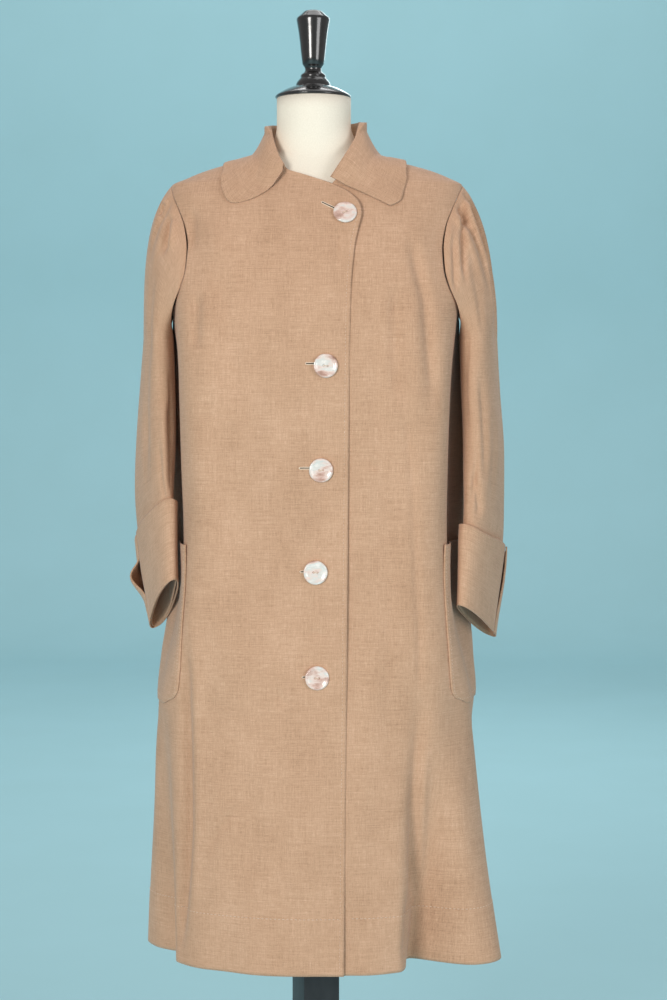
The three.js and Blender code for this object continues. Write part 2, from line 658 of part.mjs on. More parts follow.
// Patch pockets, from the front corner of the body to the side seam: how far the front edge is from the centre
// plane, round the corner at the bottom, and how far the pocket stands away.
const POCKET_ROWS = [
  { z: 672, front: 190, gape: 0 },
  { z: 680, front: 181, gape: 0 },
  { z: 692, front: 177, gape: 0 },
  { z: 708, front: 175.5, gape: 0 },
  { z: 725, front: 174, gape: 0 },
  { z: 748, front: 172.5, gape: 0 },
  { z: 770, front: 170.5, gape: 0 },
  { z: 795, front: 169, gape: 0 },
  { z: 820, front: 167.5, gape: 0.4 },
  { z: 852, front: 167, gape: 1 },
  { z: 880, front: 167, gape: 1.6 },
];
const POCKET_CLEARANCE = 0.95;
const POCKET_BACK = 0.3; // columns left free before the side seam
const POCKET_COLUMN_STEP = 0.15; // least distance between columns at the rounded corner
for (const [name, panel] of [
  ["right_pocket", PANELS.right_front],
  ["left_pocket", PANELS.left_front],
]) {
  const side = Math.sign(panel.to(POCKET_ROWS[0].z));
  const starts = POCKET_ROWS.map(({ z, front }) => {
    const share = side * shareAtX(front, z);
    return (panel.columns * (share - panel.from(z))) / (panel.to(z) - panel.from(z));
  });
  const first = Math.ceil(Math.min(...starts) + 0.2);
  const end = panel.columns - POCKET_BACK;
  const layer = (depth) =>
    POCKET_ROWS.map(({ z, gape }, row) => {
      const start = starts[row];
      const columns = [start];
      for (let column = first; column < end; column += 1)
        columns.push(Math.max(column, start + POCKET_COLUMN_STEP * columns.length));
      columns.push(end);
      return columns.map((column) => {
        const open = gape * Math.sin((Math.PI * (column - start)) / (end - start));
        return panelPoint(panel, column, z, POCKET_CLEARANCE + open + DOUBLE_CLOTH - depth);
      });
    });
  add(name, wallGeometry(layer(0), layer(DOUBLE_CLOTH)), materials.linen);
}

// The collar, from its end on the right front round the neck to its end on the left front. Each row gives the
// neck seam, the roll line, the outer edge and how far the fall sags below a straight line. Heights of the seam
// and of the edge follow the coat; y of the edge is where it meets the shoulder or back.
const COLLAR = [
  { seam: [-40, -65, 1373.5], roll: [-41, -72, 1377], edge: [-44, -76, 1369], sag: 0 },
  { seam: [-42, -64, 1375], roll: [-44, -70, 1382], edge: [-60, -80, 1346], sag: 0 },
  { seam: [-45, -61, 1379], roll: [-48, -64, 1389], edge: [-84, -82, 1330], sag: 1 },
  { seam: [-49, -55, 1385], roll: [-52.5, -54, 1400], edge: [-109, -76, 1324], sag: 3 },
  { seam: [-52.5, -41, 1395], roll: [-57.5, -38, 1416], edge: [-118, -54, 1339], sag: 6 },
  { seam: [-58.5, -19, 1403], roll: [-61, -14, 1436], edge: [-116, -24, 1368], sag: 12 },
  { seam: [-64, 4, 1402.8], roll: [-61, 12, 1444], edge: [-111, 8, 1388], sag: 14 },
  { seam: [-53, 36, 1402.8], roll: [-53, 40, 1449], edge: [-104, 62, 1372], sag: 7 },
  { seam: [-29, 54, 1402.8], roll: [-31, 58, 1451], edge: [-62, 92, 1366], sag: 6 },
  { seam: [0, 59.5, 1402.8], roll: [0, 65, 1452], edge: [0, 100, 1362], sag: 5 },
  { seam: [29, 54, 1402.8], roll: [31, 58, 1451], edge: [62, 92, 1366], sag: 6 },
  { seam: [53, 36, 1402.8], roll: [53, 40, 1449], edge: [104, 62, 1372], sag: 7 },
  { seam: [64, 4, 1402.8], roll: [59, 12, 1447], edge: [111, 8, 1388], sag: 14 },
  { seam: [58.5, -19, 1403], roll: [58, -16, 1440], edge: [114, -26, 1370], sag: 12 },
  { seam: [52.5, -41, 1395], roll: [54, -38, 1418], edge: [117, -50, 1352], sag: 4 },
  { seam: [48, -56, 1385], roll: [47, -52, 1404], edge: [114, -64, 1338], sag: 2 },
  { seam: [39, -66, 1374], roll: [35, -68, 1384], edge: [109, -72, 1325], sag: 0 },
  { seam: [22, -74, 1360], roll: [20, -77, 1361], edge: [97, -80, 1318.5], sag: 0 },
];
const COLLAR_COLUMNS = 34;
const COLLAR_CLEARANCE = 1.4; // between the coat and the fall's underside
const ROLL_ROUNDNESS = 4; // how far the fall bulges out below the roll line
const ROLL_WIDTH = 0.12; // share of the fall over which it does so
const COLLAR_ACROSS = [0, 0.45, 0.9, 1, 1.1, 1.3, 1.55, 1.8, 2]; // 0 at the seam, 1 on the roll, 2 at the edge

function collarStation(part, t) {
  const stations = COLLAR.map((row) => new THREE.Vector3(...row[part]));
  return new THREE.CatmullRomCurve3(stations, false, "centripetal").getPoint(t);
}

function collarPoint(t, across) {
  const seam = collarStation("seam", t);
  const roll = collarStation("roll", t);
  const edge = collarStation("edge", t);
  const rows = COLLAR.map((row, k) => ({ t: k / (COLLAR.length - 1), sag: row.sag }));
  const sag = along(rows, "t", "sag", t);
  const outward = edge.clone().sub(roll).setZ(0).normalize();
  const roundness = Math.min(ROLL_ROUNDNESS, roll.distanceTo(seam) * 0.3);
  const point = across <= 1 ? seam.lerp(roll, across) : roll.lerp(edge, across - 1);
  point.z += bump(across - 1, 0.4) * roundness * 0.4;
  if (across <= 1) {
    const inwards = roundness * 0.4 * ease((1 - across) / ROLL_WIDTH) * ease(across / 0.5);
    return point.addScaledVector(outward, -inwards);
  }
  point.addScaledVector(outward, roundness * ease((across - 1) / ROLL_WIDTH) * (2 - across) ** 2);
  point.z -= sag * Math.sin(Math.PI * (across - 1));
  return keepOutside(point, DOUBLE_CLOTH + COLLAR_CLEARANCE);
}

{
  const outer = [];
  for (let i = 0; i <= COLLAR_COLUMNS; i += 1)
    outer.push(COLLAR_ACROSS.map((across) => collarPoint(i / COLLAR_COLUMNS, across)));
  add("collar", wallGeometry(outer, setBack(outer, DOUBLE_CLOTH, -1)), materials.linen);
}

// Five large shell buttons on the right front.
const BUTTONS = [
  { x: 39, z: 1311 },
  { x: 14, z: 1112 },
  { x: 8, z: 978 },
  { x: 1, z: 847 },
  { x: 3, z: 712 },
];
const BUTTON_SEGMENTS = 20;
BUTTONS.forEach(({ x, z }, k) => {
  const radius = BUTTON_DIAMETER / 2;
  const profile = [
    [0, 0],
    [radius - 1.5, 0],
    [radius, 1.5],
    [radius - 1, BUTTON_THICKNESS - 0.4],
    [radius - 3.5, BUTTON_THICKNESS],
    [radius * 0.4, BUTTON_THICKNESS - 1.3],
    [0, BUTTON_THICKNESS - 1.6],
  ].map(([r, h]) => new THREE.Vector2(r, h));
  const geometry = new THREE.LatheGeometry(profile, BUTTON_SEGMENTS);
  const share = shareAtX(x, z);
  const mesh = add(`button_${k + 1}`, geometry, materials.pearl);
  mesh.position.copy(bodyPoint(share, z, 0.5));
  mesh.quaternion.setFromUnitVectors(new THREE.Vector3(0, 1, 0), bodyNormal(share, z));
});

// The form's torso and neck. At the shoulders it carries the coat, and lower down it has its own shape.
const FORM = [
  { z: 715, width: 140, front: 88, back: 96 },
  { z: 740, width: 152, front: 98, back: 107 },
  { z: 800, width: 158, front: 106, back: 114 },
  { z: 870, width: 153, front: 107, back: 112 },
  { z: 940, width: 132, front: 98, back: 96 },
  { z: 1000, width: 119, front: 92, back: 84 },
  { z: 1060, width: 127, front: 102, back: 86 },
  { z: 1120, width: 146, front: 124, back: 97 },
  { z: 1165, width: 156, front: 127, back: 104 },
  { z: 1220, width: 163, front: 114, back: 107 },
  { z: 1300, width: 166, front: 92, back: 98 },
];
const FORM_ROWS = [
  715, 740, 790, 840, 890, 940, 1000, 1060, 1110, 1150, 1190, 1230, 1270, 1300, 1320, 1340, 1352, 1358, 1366,
  1375, 1383, 1390, 1396, 1401, 1412, 1432, 1474,
];
const FORM_COLUMNS = 28;
const FORM_SIDE_GAP = 0.45; // under the shoulder seams, where the coat rests on the form
const FORM_GAP = 5.45; // in front of and behind them
const NECK_FOOT_Z = 1398;
const NECK_FOOT = { width: 60, front: 47, back: 53 };
const NECK_RADIUS = 50;

function formPoint(angle, z) {
  const side = angle > Math.PI ? RIGHT : LEFT;
  const half = side === LEFT ? angle : 2 * Math.PI - angle;
  if (z > NECK_FOOT_Z) return neckPoint(half, side, z);
  const share = side * shareAtAngle(THREE.MathUtils.radToDeg(half), z);
  const surface = bodySurface(share, z);
  const gap = FORM_SIDE_GAP + (FORM_GAP - FORM_SIDE_GAP) * ease(Math.abs(surface.y) / 30);
  const carried = bodyPoint(share, z, -CLOTH - gap);
  carried.x = side * Math.min(Math.abs(carried.x), FORM_SHOULDER_X);
  const inFront = half < Math.PI / 2;
  const own = new THREE.Vector3(
    side * along(FORM, "z", "width", z) * Math.sin(half),
    -along(FORM, "z", inFront ? "front" : "back", z) * Math.cos(half),
    z,
  );
  return own.lerp(carried, ease((z - 1240) / 80));
}

function neckPoint(half, side, z) {
  const { width, front, back } = NECK_FOOT;
  const rise = ease((z - NECK_FOOT_Z) / 40);
  const depth = half < Math.PI / 2 ? front : back;
  return new THREE.Vector3(
    NECK_X * rise + side * mix(width, NECK_RADIUS, rise) * Math.sin(half),
    -mix(depth, NECK_RADIUS, rise) * Math.cos(half),
    z,
  );
}

{
  const positions = [];
  const triangles = [];
  const angleAt = (j) => (2 * Math.PI * j) / FORM_COLUMNS;
  for (const z of FORM_ROWS)
    for (let j = 0; j < FORM_COLUMNS; j += 1) positions.push(...formPoint(angleAt(j), z).toArray());
  const at = (i, j) => i * FORM_COLUMNS + (j % FORM_COLUMNS);
  for (let i = 0; i < FORM_ROWS.length - 1; i += 1)
    for (let j = 0; j < FORM_COLUMNS; j += 1)
      triangles.push(at(i, j), at(i, j + 1), at(i + 1, j + 1), at(i, j), at(i + 1, j + 1), at(i + 1, j));
  const bottom = positions.length / 3;
  positions.push(0, 0, FORM_BOTTOM_Z, 0, 0, NECK_TOP_Z);
  for (let j = 0; j < FORM_COLUMNS; j += 1) {
    triangles.push(bottom, at(0, j + 1), at(0, j));
    triangles.push(bottom + 1, at(FORM_ROWS.length - 1, j), at(FORM_ROWS.length - 1, j + 1));
  }
  add("form_torso", facingOut(positions, triangles), materials.jersey);
}

// The turned cap on the neck: a domed flange, a bell foot and a tapered handle, as radius and height above it.
const CAP_PROFILE = [
  { r: 0, h: 0.3 },
  { r: 50.5, h: 0.3 },
  { r: 51, h: 2.5 },
  { r: 46, h: 7 },
  { r: 34, h: 13 },
  { r: 23.5, h: 16.5 },
  { r: 22, h: 22 },
  { r: 17, h: 28 },
  { r: 15.8, h: 32.5 },
  { r: 10.8, h: 38.5 },
  { r: 11.2, h: 41.5 },
  { r: 14.3, h: 46 },
  { r: 18.2, h: 79 },
  { r: 22.3, h: 106 },
  { r: 22, h: 109 },
  { r: 15.5, h: 115.5 },
  { r: 11, h: 118.5 },
  { r: 0, h: 119 },
];
const CAP_SEGMENTS = 20;
{
  const profile = CAP_PROFILE.map(({ r, h }) => new THREE.Vector2(r, h));
  const cap = add("neck_cap", new THREE.LatheGeometry(profile, CAP_SEGMENTS), materials.lacquer);
  cap.rotation.x = Math.PI / 2;
  cap.position.set(CAP_X, 0, NECK_TOP_Z);
}

// The square post and its plain base, turned a little from the coat's front.
{
  const height = FORM_BOTTOM_Z - BASE_HEIGHT - 0.6;
  const post = add("post", new THREE.BoxGeometry(POST_SIDE, POST_SIDE, height), materials.lacquer);
  post.position.z = BASE_HEIGHT + 0.3 + height / 2;
  post.rotation.z = POST_TURN;

  const bevel = 5;
  const half = BASE_SIDE / 2 - bevel;
  const outline = new THREE.Shape([
    new THREE.Vector2(-half, -half),
    new THREE.Vector2(half, -half),
    new THREE.Vector2(half, half),
    new THREE.Vector2(-half, half),
  ]);
  const plate = new THREE.ExtrudeGeometry(outline, {
    depth: BASE_HEIGHT - 2 * bevel,
    bevelSize: bevel,
    bevelThickness: bevel,
    bevelSegments: 1,
  });
  const base = add("stand_base", plate, materials.lacquer);
  base.position.z = bevel;
  base.rotation.z = POST_TURN;
}

export default coatOnForm;
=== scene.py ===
import math

import bmesh
import bpy
import numpy as np
from mathutils import Matrix, Vector


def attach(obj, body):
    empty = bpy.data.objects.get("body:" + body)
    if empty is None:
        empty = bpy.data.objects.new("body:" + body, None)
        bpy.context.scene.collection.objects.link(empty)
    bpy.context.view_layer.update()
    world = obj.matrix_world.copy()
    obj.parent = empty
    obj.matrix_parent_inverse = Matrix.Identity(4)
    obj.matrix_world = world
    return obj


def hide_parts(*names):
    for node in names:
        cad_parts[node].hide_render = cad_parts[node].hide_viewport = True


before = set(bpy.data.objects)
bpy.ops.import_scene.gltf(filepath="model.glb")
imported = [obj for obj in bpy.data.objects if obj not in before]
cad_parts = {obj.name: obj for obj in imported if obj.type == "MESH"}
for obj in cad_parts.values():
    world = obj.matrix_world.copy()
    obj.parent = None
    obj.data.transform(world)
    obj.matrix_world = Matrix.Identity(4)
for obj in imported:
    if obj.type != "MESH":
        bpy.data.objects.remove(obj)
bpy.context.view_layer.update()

MM = 0.001
LEFT, RIGHT = 1, -1  # the wearer's sides: left is at +X

# Sizes, in millimetres
HEM_Z, UNDERARM_Z, SHOULDER_TIP_Z, NECK_SEAM_Z = 330.0, 1185.0, 1356.0, 1402.0
CLOTH, DOUBLE_CLOTH = 1.4, 2.0
BUTTON_RADIUS, BUTTON_THICKNESS = 15.5, 4.0
CUFF_DEPTH = 112.0
FORM_BOTTOM_Z, NECK_FOOT_Z, NECK_TOP_Z, NECK_RADIUS = 715.0, 1398.0, 1474.0, 50.0
NECK_X, CAP_X = -2.5, -3.5
POST_SIDE, POST_TURN, BASE_SIDE, BASE_HEIGHT = 50.0, math.radians(20), 320.0, 26.0


def columns(names, rows):
    return {name: np.array(values, float) for name, values in zip(names.split(), zip(*rows))}


BODY = columns(
    "z width front back square_front square_back middle",
    [
        (330, 210, 141, 160, 2.05, 2.2, 0),
        (450, 211, 140, 156, 2.2, 2.3, 0),
        (580, 212, 139, 151, 2.4, 2.3, 0),
        (660, 209, 138, 147, 2.7, 2.3, 0),
        (725, 194, 138, 145, 3.8, 2.4, 0),
        (770, 182, 137, 142, 5, 2.5, 0),
        (820, 175, 136, 138, 6, 2.5, 0),
        (900, 173, 136, 133, 6, 2.6, 0),
        (990, 175, 138, 129, 6, 2.6, 0),
        (1100, 181, 141, 125, 5, 2.5, 0),
        (1165, 188, 138, 122, 4, 2.4, 0),
        (1210, 195, 131, 120, 3.3, 2.3, 0),
        (1260, 198, 118, 115, 2.8, 2.3, 0),
        (1300, 199, 103, 107, 2.5, 2.2, 0),
        (1335, 199, 85, 94, 2.3, 2.1, 0),
        (1356, 196, 72, 82, 2.1, 2, 2),
        (1366, 177, 67, 77, 2, 2, 4),
        (1375, 155, 63, 73, 2, 2, 4),
        (1383, 128, 59, 70, 2, 2, 3),
        (1390, 101, 56, 67, 2, 2, 1),
        (1396, 81, 54, 64, 2, 2, 0),
        (1402, 66, 52, 61, 2, 2, 0),
    ],
)

# side, place at the top and at the hem as a share of the half girth, reach, height (hollows are negative),
# the height where it dies away, and how fast it grows
SKIRT_FOLDS = [
    (LEFT, 0.26, 0.275, 0.085, -52, 660, 1.5),
    (LEFT, 0.37, 0.41, 0.13, 46, 660, 1.3),
    (LEFT, 0.6, 0.6, 0.09, -22, 660, 1.3),
    (LEFT, 0.74, 0.76, 0.1, 18, 660, 1.2),
    (LEFT, 0.88, 0.89, 0.09, -22, 660, 1.2),
    (RIGHT, 0.4, 0.415, 0.075, -24, 660, 0.8),
    (RIGHT, 0.5, 0.55, 0.09, 22, 660, 1.1),
    (RIGHT, 0.66, 0.67, 0.1, -22, 660, 1.2),
    (RIGHT, 0.82, 0.83, 0.09, 16, 660, 1.2),
]

RIGHT_EDGE = columns(
    "z x",
    [
        (330, 37), (600, 40), (1070, 44), (1200, 46), (1265, 51), (1295, 57), (1312, 60.5), (1324, 58), (1334, 51),
        (1343, 40), (1349, 28), (1354, 16), (1360, -3), (1366, -22), (1372, -40), (1378, -45), (1390, -53), (1402, -59),
    ],
)
LEFT_EDGE = columns(
    "z x",
    [
        (330, -30), (1320, -28), (1340, -10), (1350, 14), (1360, 27), (1372, 38), (1378, 43), (1390, 52), (1402, 59),
    ],
)
SIDE_SEAM = columns("z angle", [(330, 104), (900, 102), (1100, 94), (1185, 90), (1402, 90)])
# how much wider than its half width the body gets under the sleeves, behind SPREAD_START_Y over SPREAD_RUN
SIDE_SPREAD = columns(
    "z left right",
    [
        (640, 0, 0), (725, 23, 19), (770, 33, 24), (820, 35, 27), (900, 36, 30), (990, 36, 30), (1100, 26, 19),
        (1150, 13, 11), (1170, 9, 8), (1184, 0, 0),
    ],
)
SPREAD_START_Y, SPREAD_RUN = -50.0, 110.0
ARMHOLE = columns(
    "z front back",
    [
        (1185, 192.5, 192.5),
        (1190, 189.5, 189.5),
        (1200, 182.5, 183),
        (1216, 175, 177),
        (1238, 169.5, 172.5),
        (1265, 168, 172),
        (1295, 172, 176),
        (1320, 181, 184),
        (1340, 190, 191),
        (1350, 194, 194),
        (1356, 196, 196),
    ],
)


# The coat's surface
def along(table, column, at, key="z"):
    """Value of a table's column between its rows, without overshoot."""
    keys, values = table[key], table[column]
    slopes = np.diff(values) / np.diff(keys)
    tangents = np.concatenate([slopes[:1], np.zeros(len(keys) - 2), slopes[-1:]])
    before, after = slopes[:-1], slopes[1:]
    rising = before * after > 0
    total = np.where(rising, before + after, 1)
    tangents[1:-1] = np.where(rising, 2 * before * after / total, 0)
    at = np.clip(np.asarray(at, float), keys[0], keys[-1])
    row = np.clip(np.searchsorted(keys, at, side="right") - 1, 0, len(keys) - 2)
    span = keys[row + 1] - keys[row]
    t = (at - keys[row]) / span
    return (
        values[row] * (1 + 2 * t) * (1 - t) ** 2
        + values[row + 1] * t * t * (3 - 2 * t)
        + tangents[row] * span * t * (1 - t) ** 2
        - tangents[row + 1] * span * t * t * (1 - t)
    )


def ease(t):
    t = np.clip(t, 0, 1)
    return t * t * (3 - 2 * t)


def bump(distance, reach):
    return np.where(np.abs(distance) < reach, 0.5 + 0.5 * np.cos(np.pi * np.asarray(distance) / reach), 0.0)


def mix(a, b, t):
    return a + (b - a) * t


NORMAL_STEP, NORMAL_SHARE_STEP = 2.0, 0.006
RINGS = {}
RING_ANGLES = np.radians(np.linspace(0, 180, 361))


def half_ring(z):
    """Half of the body's outline at one height, from centre front round the side to centre back."""
    if z not in RINGS:
        in_front = RING_ANGLES < math.pi / 2
        width = along(BODY, "width", z)
        depth = np.where(in_front, along(BODY, "front", z), along(BODY, "back", z))
        square = np.where(in_front, along(BODY, "square_front", z), along(BODY, "square_back", z))
        sine, cosine = np.sin(RING_ANGLES), np.cos(RING_ANGLES)
        radius = (np.abs(sine / width) ** square + np.abs(cosine / depth) ** square) ** (-1 / square)
        x, y = radius * sine, -radius * cosine
        arc = np.concatenate([[0], np.cumsum(np.hypot(np.diff(x), np.diff(y)))])
        RINGS[z] = x, y, arc
    return RINGS[z]


def half_girth(z):
    return half_ring(z)[2][-1]


def share_at_x(x, z, behind=False):
    ring_x, _, arc = half_ring(z)
    middle = len(ring_x) // 2
    part = slice(middle, None) if behind else slice(0, middle + 1)
    xs, arcs = ring_x[part], arc[part]
    if behind:
        xs, arcs = xs[::-1], arcs[::-1]
    xs = np.maximum.accumulate(xs)
    return np.sign(x) * np.interp(abs(x), xs, arcs) / arc[-1]


def share_at_angle(degrees, z):
    arc = half_ring(z)[2]
    return np.interp(math.radians(degrees), RING_ANGLES, arc) / arc[-1]


def fold_at(share, side, z):
    out = np.zeros_like(share)
    for fold_side, place_top, place_hem, reach, height, top, grow in SKIRT_FOLDS:
        if z >= top:
            continue
        down = (top - z) / (top - HEM_Z)
        place = mix(place_top, place_hem, down)
        out += np.where(side == fold_side, height * down**grow * bump(share - place, reach), 0)
    return out


def side_spread(x, y, side, z):
    """How far the side stands out beyond the plain outline."""
    most = np.where(side == LEFT, along(SIDE_SPREAD, "left", z), along(SIDE_SPREAD, "right", z))
    return most * ease((y - SPREAD_START_Y) / SPREAD_RUN) * ease(x / along(BODY, "width", z))


def body_surface(share, z):
    """Points of the coat's outer surface at one height; share is 0 at centre front and 1 at centre back."""
    share = np.atleast_1d(np.asarray(share, float))
    turned = np.where(share > 1, share - 2, share)
    side = np.where(turned < 0, RIGHT, LEFT)
    ring_x, ring_y, arc = half_ring(z)
    place = np.minimum(1, np.abs(turned)) * arc[-1]
    tangent_x = np.interp(place, arc, np.gradient(ring_x, arc))
    tangent_y = np.interp(place, arc, np.gradient(ring_y, arc))
    size = np.hypot(tangent_x, tangent_y)
    out = fold_at(np.abs(turned), side, z)
    plain_x, plain_y = np.interp(place, arc, ring_x), np.interp(place, arc, ring_y)
    x = plain_x + side_spread(plain_x, plain_y, side, z) + out * tangent_y / size
    x = along(BODY, "middle", z) + side * x
    y = plain_y - out * tangent_x / size
    return np.stack([x, y, np.full_like(x, z)], axis=-1)


def body_normals(shares, z):
    """Unit normals of the coat's outer surface at one height, facing out."""
    low, high = max(HEM_Z, z - NORMAL_STEP), min(NECK_SEAM_Z, z + NORMAL_STEP)
    around = body_surface(shares + NORMAL_SHARE_STEP, z) - body_surface(shares - NORMAL_SHARE_STEP, z)
    normal = np.cross(around, body_surface(shares, high) - body_surface(shares, low))
    return normal / np.linalg.norm(normal, axis=1, keepdims=True)


def side_share(z, behind):
    if UNDERARM_Z < z < SHOULDER_TIP_Z:
        return share_at_x(along(ARMHOLE, "back" if behind else "front", z), z, behind)
    return share_at_angle(along(SIDE_SEAM, "angle", z), z)


def grid_normals(grid, closed=False):
    """Unit normals of a grid of points, by central differences."""
    if closed:
        around = np.roll(grid, -1, axis=1) - np.roll(grid, 1, axis=1)
    else:
        around = np.gradient(grid, axis=1)
    down = np.gradient(grid, axis=0)
    normal = np.cross(around, down)
    return normal / np.maximum(np.linalg.norm(normal, axis=-1, keepdims=True), 1e-9)


def outside_body(points):
    """How far points lie outside the body without its folds, and the way out."""

    def level(x, y, z):
        in_front = y < 0
        depth = np.where(in_front, along(BODY, "front", z), along(BODY, "back", z))
        square = np.where(in_front, along(BODY, "square_front", z), along(BODY, "square_back", z))
        width = along(BODY, "width", z)
        return (np.abs(x / width) ** square + np.abs(y / depth) ** square) ** (1 / square) - 1

    step = 0.5
    x, y, z = points[..., 0] - along(BODY, "middle", points[..., 2]), points[..., 1], points[..., 2]
    way = np.stack(
        [
            level(x + step, y, z) - level(x - step, y, z),
            level(x, y + step, z) - level(x, y - step, z),
            level(x, y, z + step) - level(x, y, z - step),
        ],
        axis=-1,
    ) / (2 * step)
    steepness = np.linalg.norm(way, axis=-1)
    return level(x, y, z) / steepness, way / steepness[..., None]


def keep_outside(points, clearance):
    for _ in range(6):
        distance, way = outside_body(points)
        short = np.maximum(0, clearance - distance)
        points = points + way * (short * 0.9)[..., None]
    return points


# Meshes
def new_object(name, mesh, material):
    obj = bpy.data.objects.new(name, mesh)
    bpy.context.scene.collection.objects.link(obj)
    mesh.materials.append(material)
    for polygon in mesh.polygons:
        polygon.use_smooth = True
    return obj


def shell(name, outer, inner, material, uv, closed=False):
    """A cloth wall from a grid of outer and a grid of inner points in mm, with uv in metres of cloth."""
    rows, count = outer.shape[:2]
    vertices = np.concatenate([outer.reshape(-1, 3), inner.reshape(-1, 3)]) * MM
    i, j = np.meshgrid(np.arange(rows - 1), np.arange(count if closed else count - 1), indexing="ij")
    i, j = i.ravel(), j.ravel()
    k = (j + 1) % count
    layer = rows * count
    a, b, c, d = i * count + j, i * count + k, (i + 1) * count + k, (i + 1) * count + j
    faces = [np.stack([a, b, c, d], 1), np.stack([a, d, c, b], 1) + layer]
    corner_uv = [(i, j), (i, j + 1), (i + 1, j + 1), (i + 1, j)]
    uv_faces = [corner_uv, [corner_uv[0], corner_uv[3], corner_uv[2], corner_uv[1]]]

    def rim(row_a, col_a, row_b, col_b):
        p = row_a * count + col_a % count
        q = row_b * count + col_b % count
        faces.append(np.stack([p, p + layer, q + layer, q], 1))
        uv_faces.append([(row_a, col_a), (row_a, col_a), (row_b, col_b), (row_b, col_b)])

    spans = np.arange(count if closed else count - 1)
    first, last = np.zeros_like(spans), np.full_like(spans, rows - 1)
    rim(first, spans, first, spans + 1)
    rim(last, spans + 1, last, spans)
    if not closed:
        rises = np.arange(rows - 1)
        rim(rises + 1, np.zeros_like(rises), rises, np.zeros_like(rises))
        rim(rises, np.full_like(rises, count - 1), rises + 1, np.full_like(rises, count - 1))
    quads = np.concatenate(faces)
    corners = vertices[quads]
    volume = np.einsum("ij,ij->i", corners[:, 0], np.cross(corners[:, 1], corners[:, 2])).sum()
    volume += np.einsum("ij,ij->i", corners[:, 0], np.cross(corners[:, 2], corners[:, 3])).sum()
    uvs = np.concatenate([np.stack([uv[r, s] for r, s in corners4], 1) for corners4 in uv_faces])
    if volume < 0:
        quads, uvs = quads[:, ::-1], uvs[:, ::-1]
    mesh = bpy.data.meshes.new(name)
    mesh.from_pydata(vertices.tolist(), [], quads.tolist())
    layer_uv = mesh.uv_layers.new(name="cloth")
    layer_uv.data.foreach_set("uv", np.ascontiguousarray(uvs, dtype=np.float32).ravel())
    mesh.update()
    return new_object(name, mesh, material)


def cloth_uv(grid, closed=False):
    """Metres along and across the cloth, for each point of a grid (one more column where it is closed)."""
    if closed:
        grid = np.concatenate([grid, grid[:, :1]], axis=1)
    across = np.linalg.norm(np.diff(grid, axis=1), axis=-1)
    u = np.concatenate([np.zeros((len(grid), 1)), np.cumsum(across, axis=1)], axis=1)
    u -= u.mean(axis=1, keepdims=True)
    down = np.median(np.linalg.norm(np.diff(grid, axis=0), axis=-1), axis=1)
    v = np.concatenate([[0], np.cumsum(down)])[:, None] + np.zeros_like(u)
    return np.stack([u, v], axis=-1) * MM


def cloth_piece(obj, node):
    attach(obj, "root")
    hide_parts(node)
    return obj


def polyline_relief(points, where, z):
    """Relief of one crease: 1 on its line, 0 past its width, fading at both ends. points are (where, z)."""
    line = np.array(points, float)
    pieces = np.diff(line, axis=0)
    lengths = np.linalg.norm(pieces, axis=1)
    starts = np.concatenate([[0], np.cumsum(lengths)])
    best = np.full(where.shape, 1e9)
    place = np.zeros(where.shape)
    for start, piece, length, before in zip(line[:-1], pieces, lengths, starts):
        t = np.clip(((where - start[0]) * piece[0] + (z - start[1]) * piece[1]) / length**2, 0, 1)
        distance = np.hypot(where - start[0] - t * piece[0], z - start[1] - t * piece[1])
        nearer = distance < best
        best = np.where(nearer, distance, best)
        place = np.where(nearer, (before + t * length) / starts[-1], place)
    return best, place


def crease_relief(creases, where, z):
    relief = np.zeros(where.shape)
    for depth, width, fade_start, fade_end, points in creases:
        distance, place = polyline_relief(points, where, z)
        fade = ease(place / fade_start) * ease((1 - place) / fade_end)
        relief += depth * fade * np.exp(-((distance / width) ** 2))
    return relief


def undulation(where, z, seed, height):
    """Slow, uneven waves that hanging cloth has, mostly upright."""
    random = np.random.default_rng(seed)
    relief = np.zeros(where.shape)
    for _ in range(7):
        wave_across = random.uniform(55, 140)
        wave_down = random.uniform(260, 700)
        phase = random.uniform(0, 2 * np.pi)
        tilt = random.choice([-1, 1])
        relief += np.sin(2 * np.pi * (where / wave_across + tilt * z / wave_down) + phase)
    return relief * height / 7


# Materials
def node_material(name):
    material = bpy.data.materials.new(name)
    material.use_nodes = True
    nodes, links = material.node_tree.nodes, material.node_tree.links
    shader = next(node for node in nodes if node.type == "BSDF_PRINCIPLED")
    return material, nodes, links, shader


def noise_node(nodes, links, source, stretch, detail=2.0, roughness=0.5):
    mapping = nodes.new("ShaderNodeMapping")
    mapping.inputs["Scale"].default_value = stretch
    links.new(source, mapping.inputs["Vector"])
    noise = nodes.new("ShaderNodeTexNoise")
    noise.inputs["Scale"].default_value = 1.0
    noise.inputs["Detail"].default_value = detail
    noise.inputs["Roughness"].default_value = roughness
    links.new(mapping.outputs["Vector"], noise.inputs["Vector"])
    return noise.outputs["Fac"]


def combine(nodes, links, terms):
    """Sum of sources times weights, each source taken about its middle value of 0.5."""
    total = None
    for source, weight in terms:
        scaled = nodes.new("ShaderNodeMath")
        scaled.operation = "MULTIPLY_ADD"
        links.new(source, scaled.inputs[0])
        scaled.inputs[1].default_value = weight
        scaled.inputs[2].default_value = -0.5 * weight
        if total is not None:
            adding = nodes.new("ShaderNodeMath")
            adding.operation = "ADD"
            links.new(total, adding.inputs[0])
            links.new(scaled.outputs[0], adding.inputs[1])
            total = adding.outputs[0]
        else:
            total = scaled.outputs[0]
    return total


def ramp(nodes, links, source, stops):
    node = nodes.new("ShaderNodeValToRGB")
    elements = node.color_ramp.elements
    while len(elements) < len(stops):
        elements.new(0.5)
    for element, (position, colour) in zip(elements, stops):
        element.position = position
        element.color = (*colour, 1)
    links.new(source, node.inputs["Fac"])
    return node.outputs["Color"]


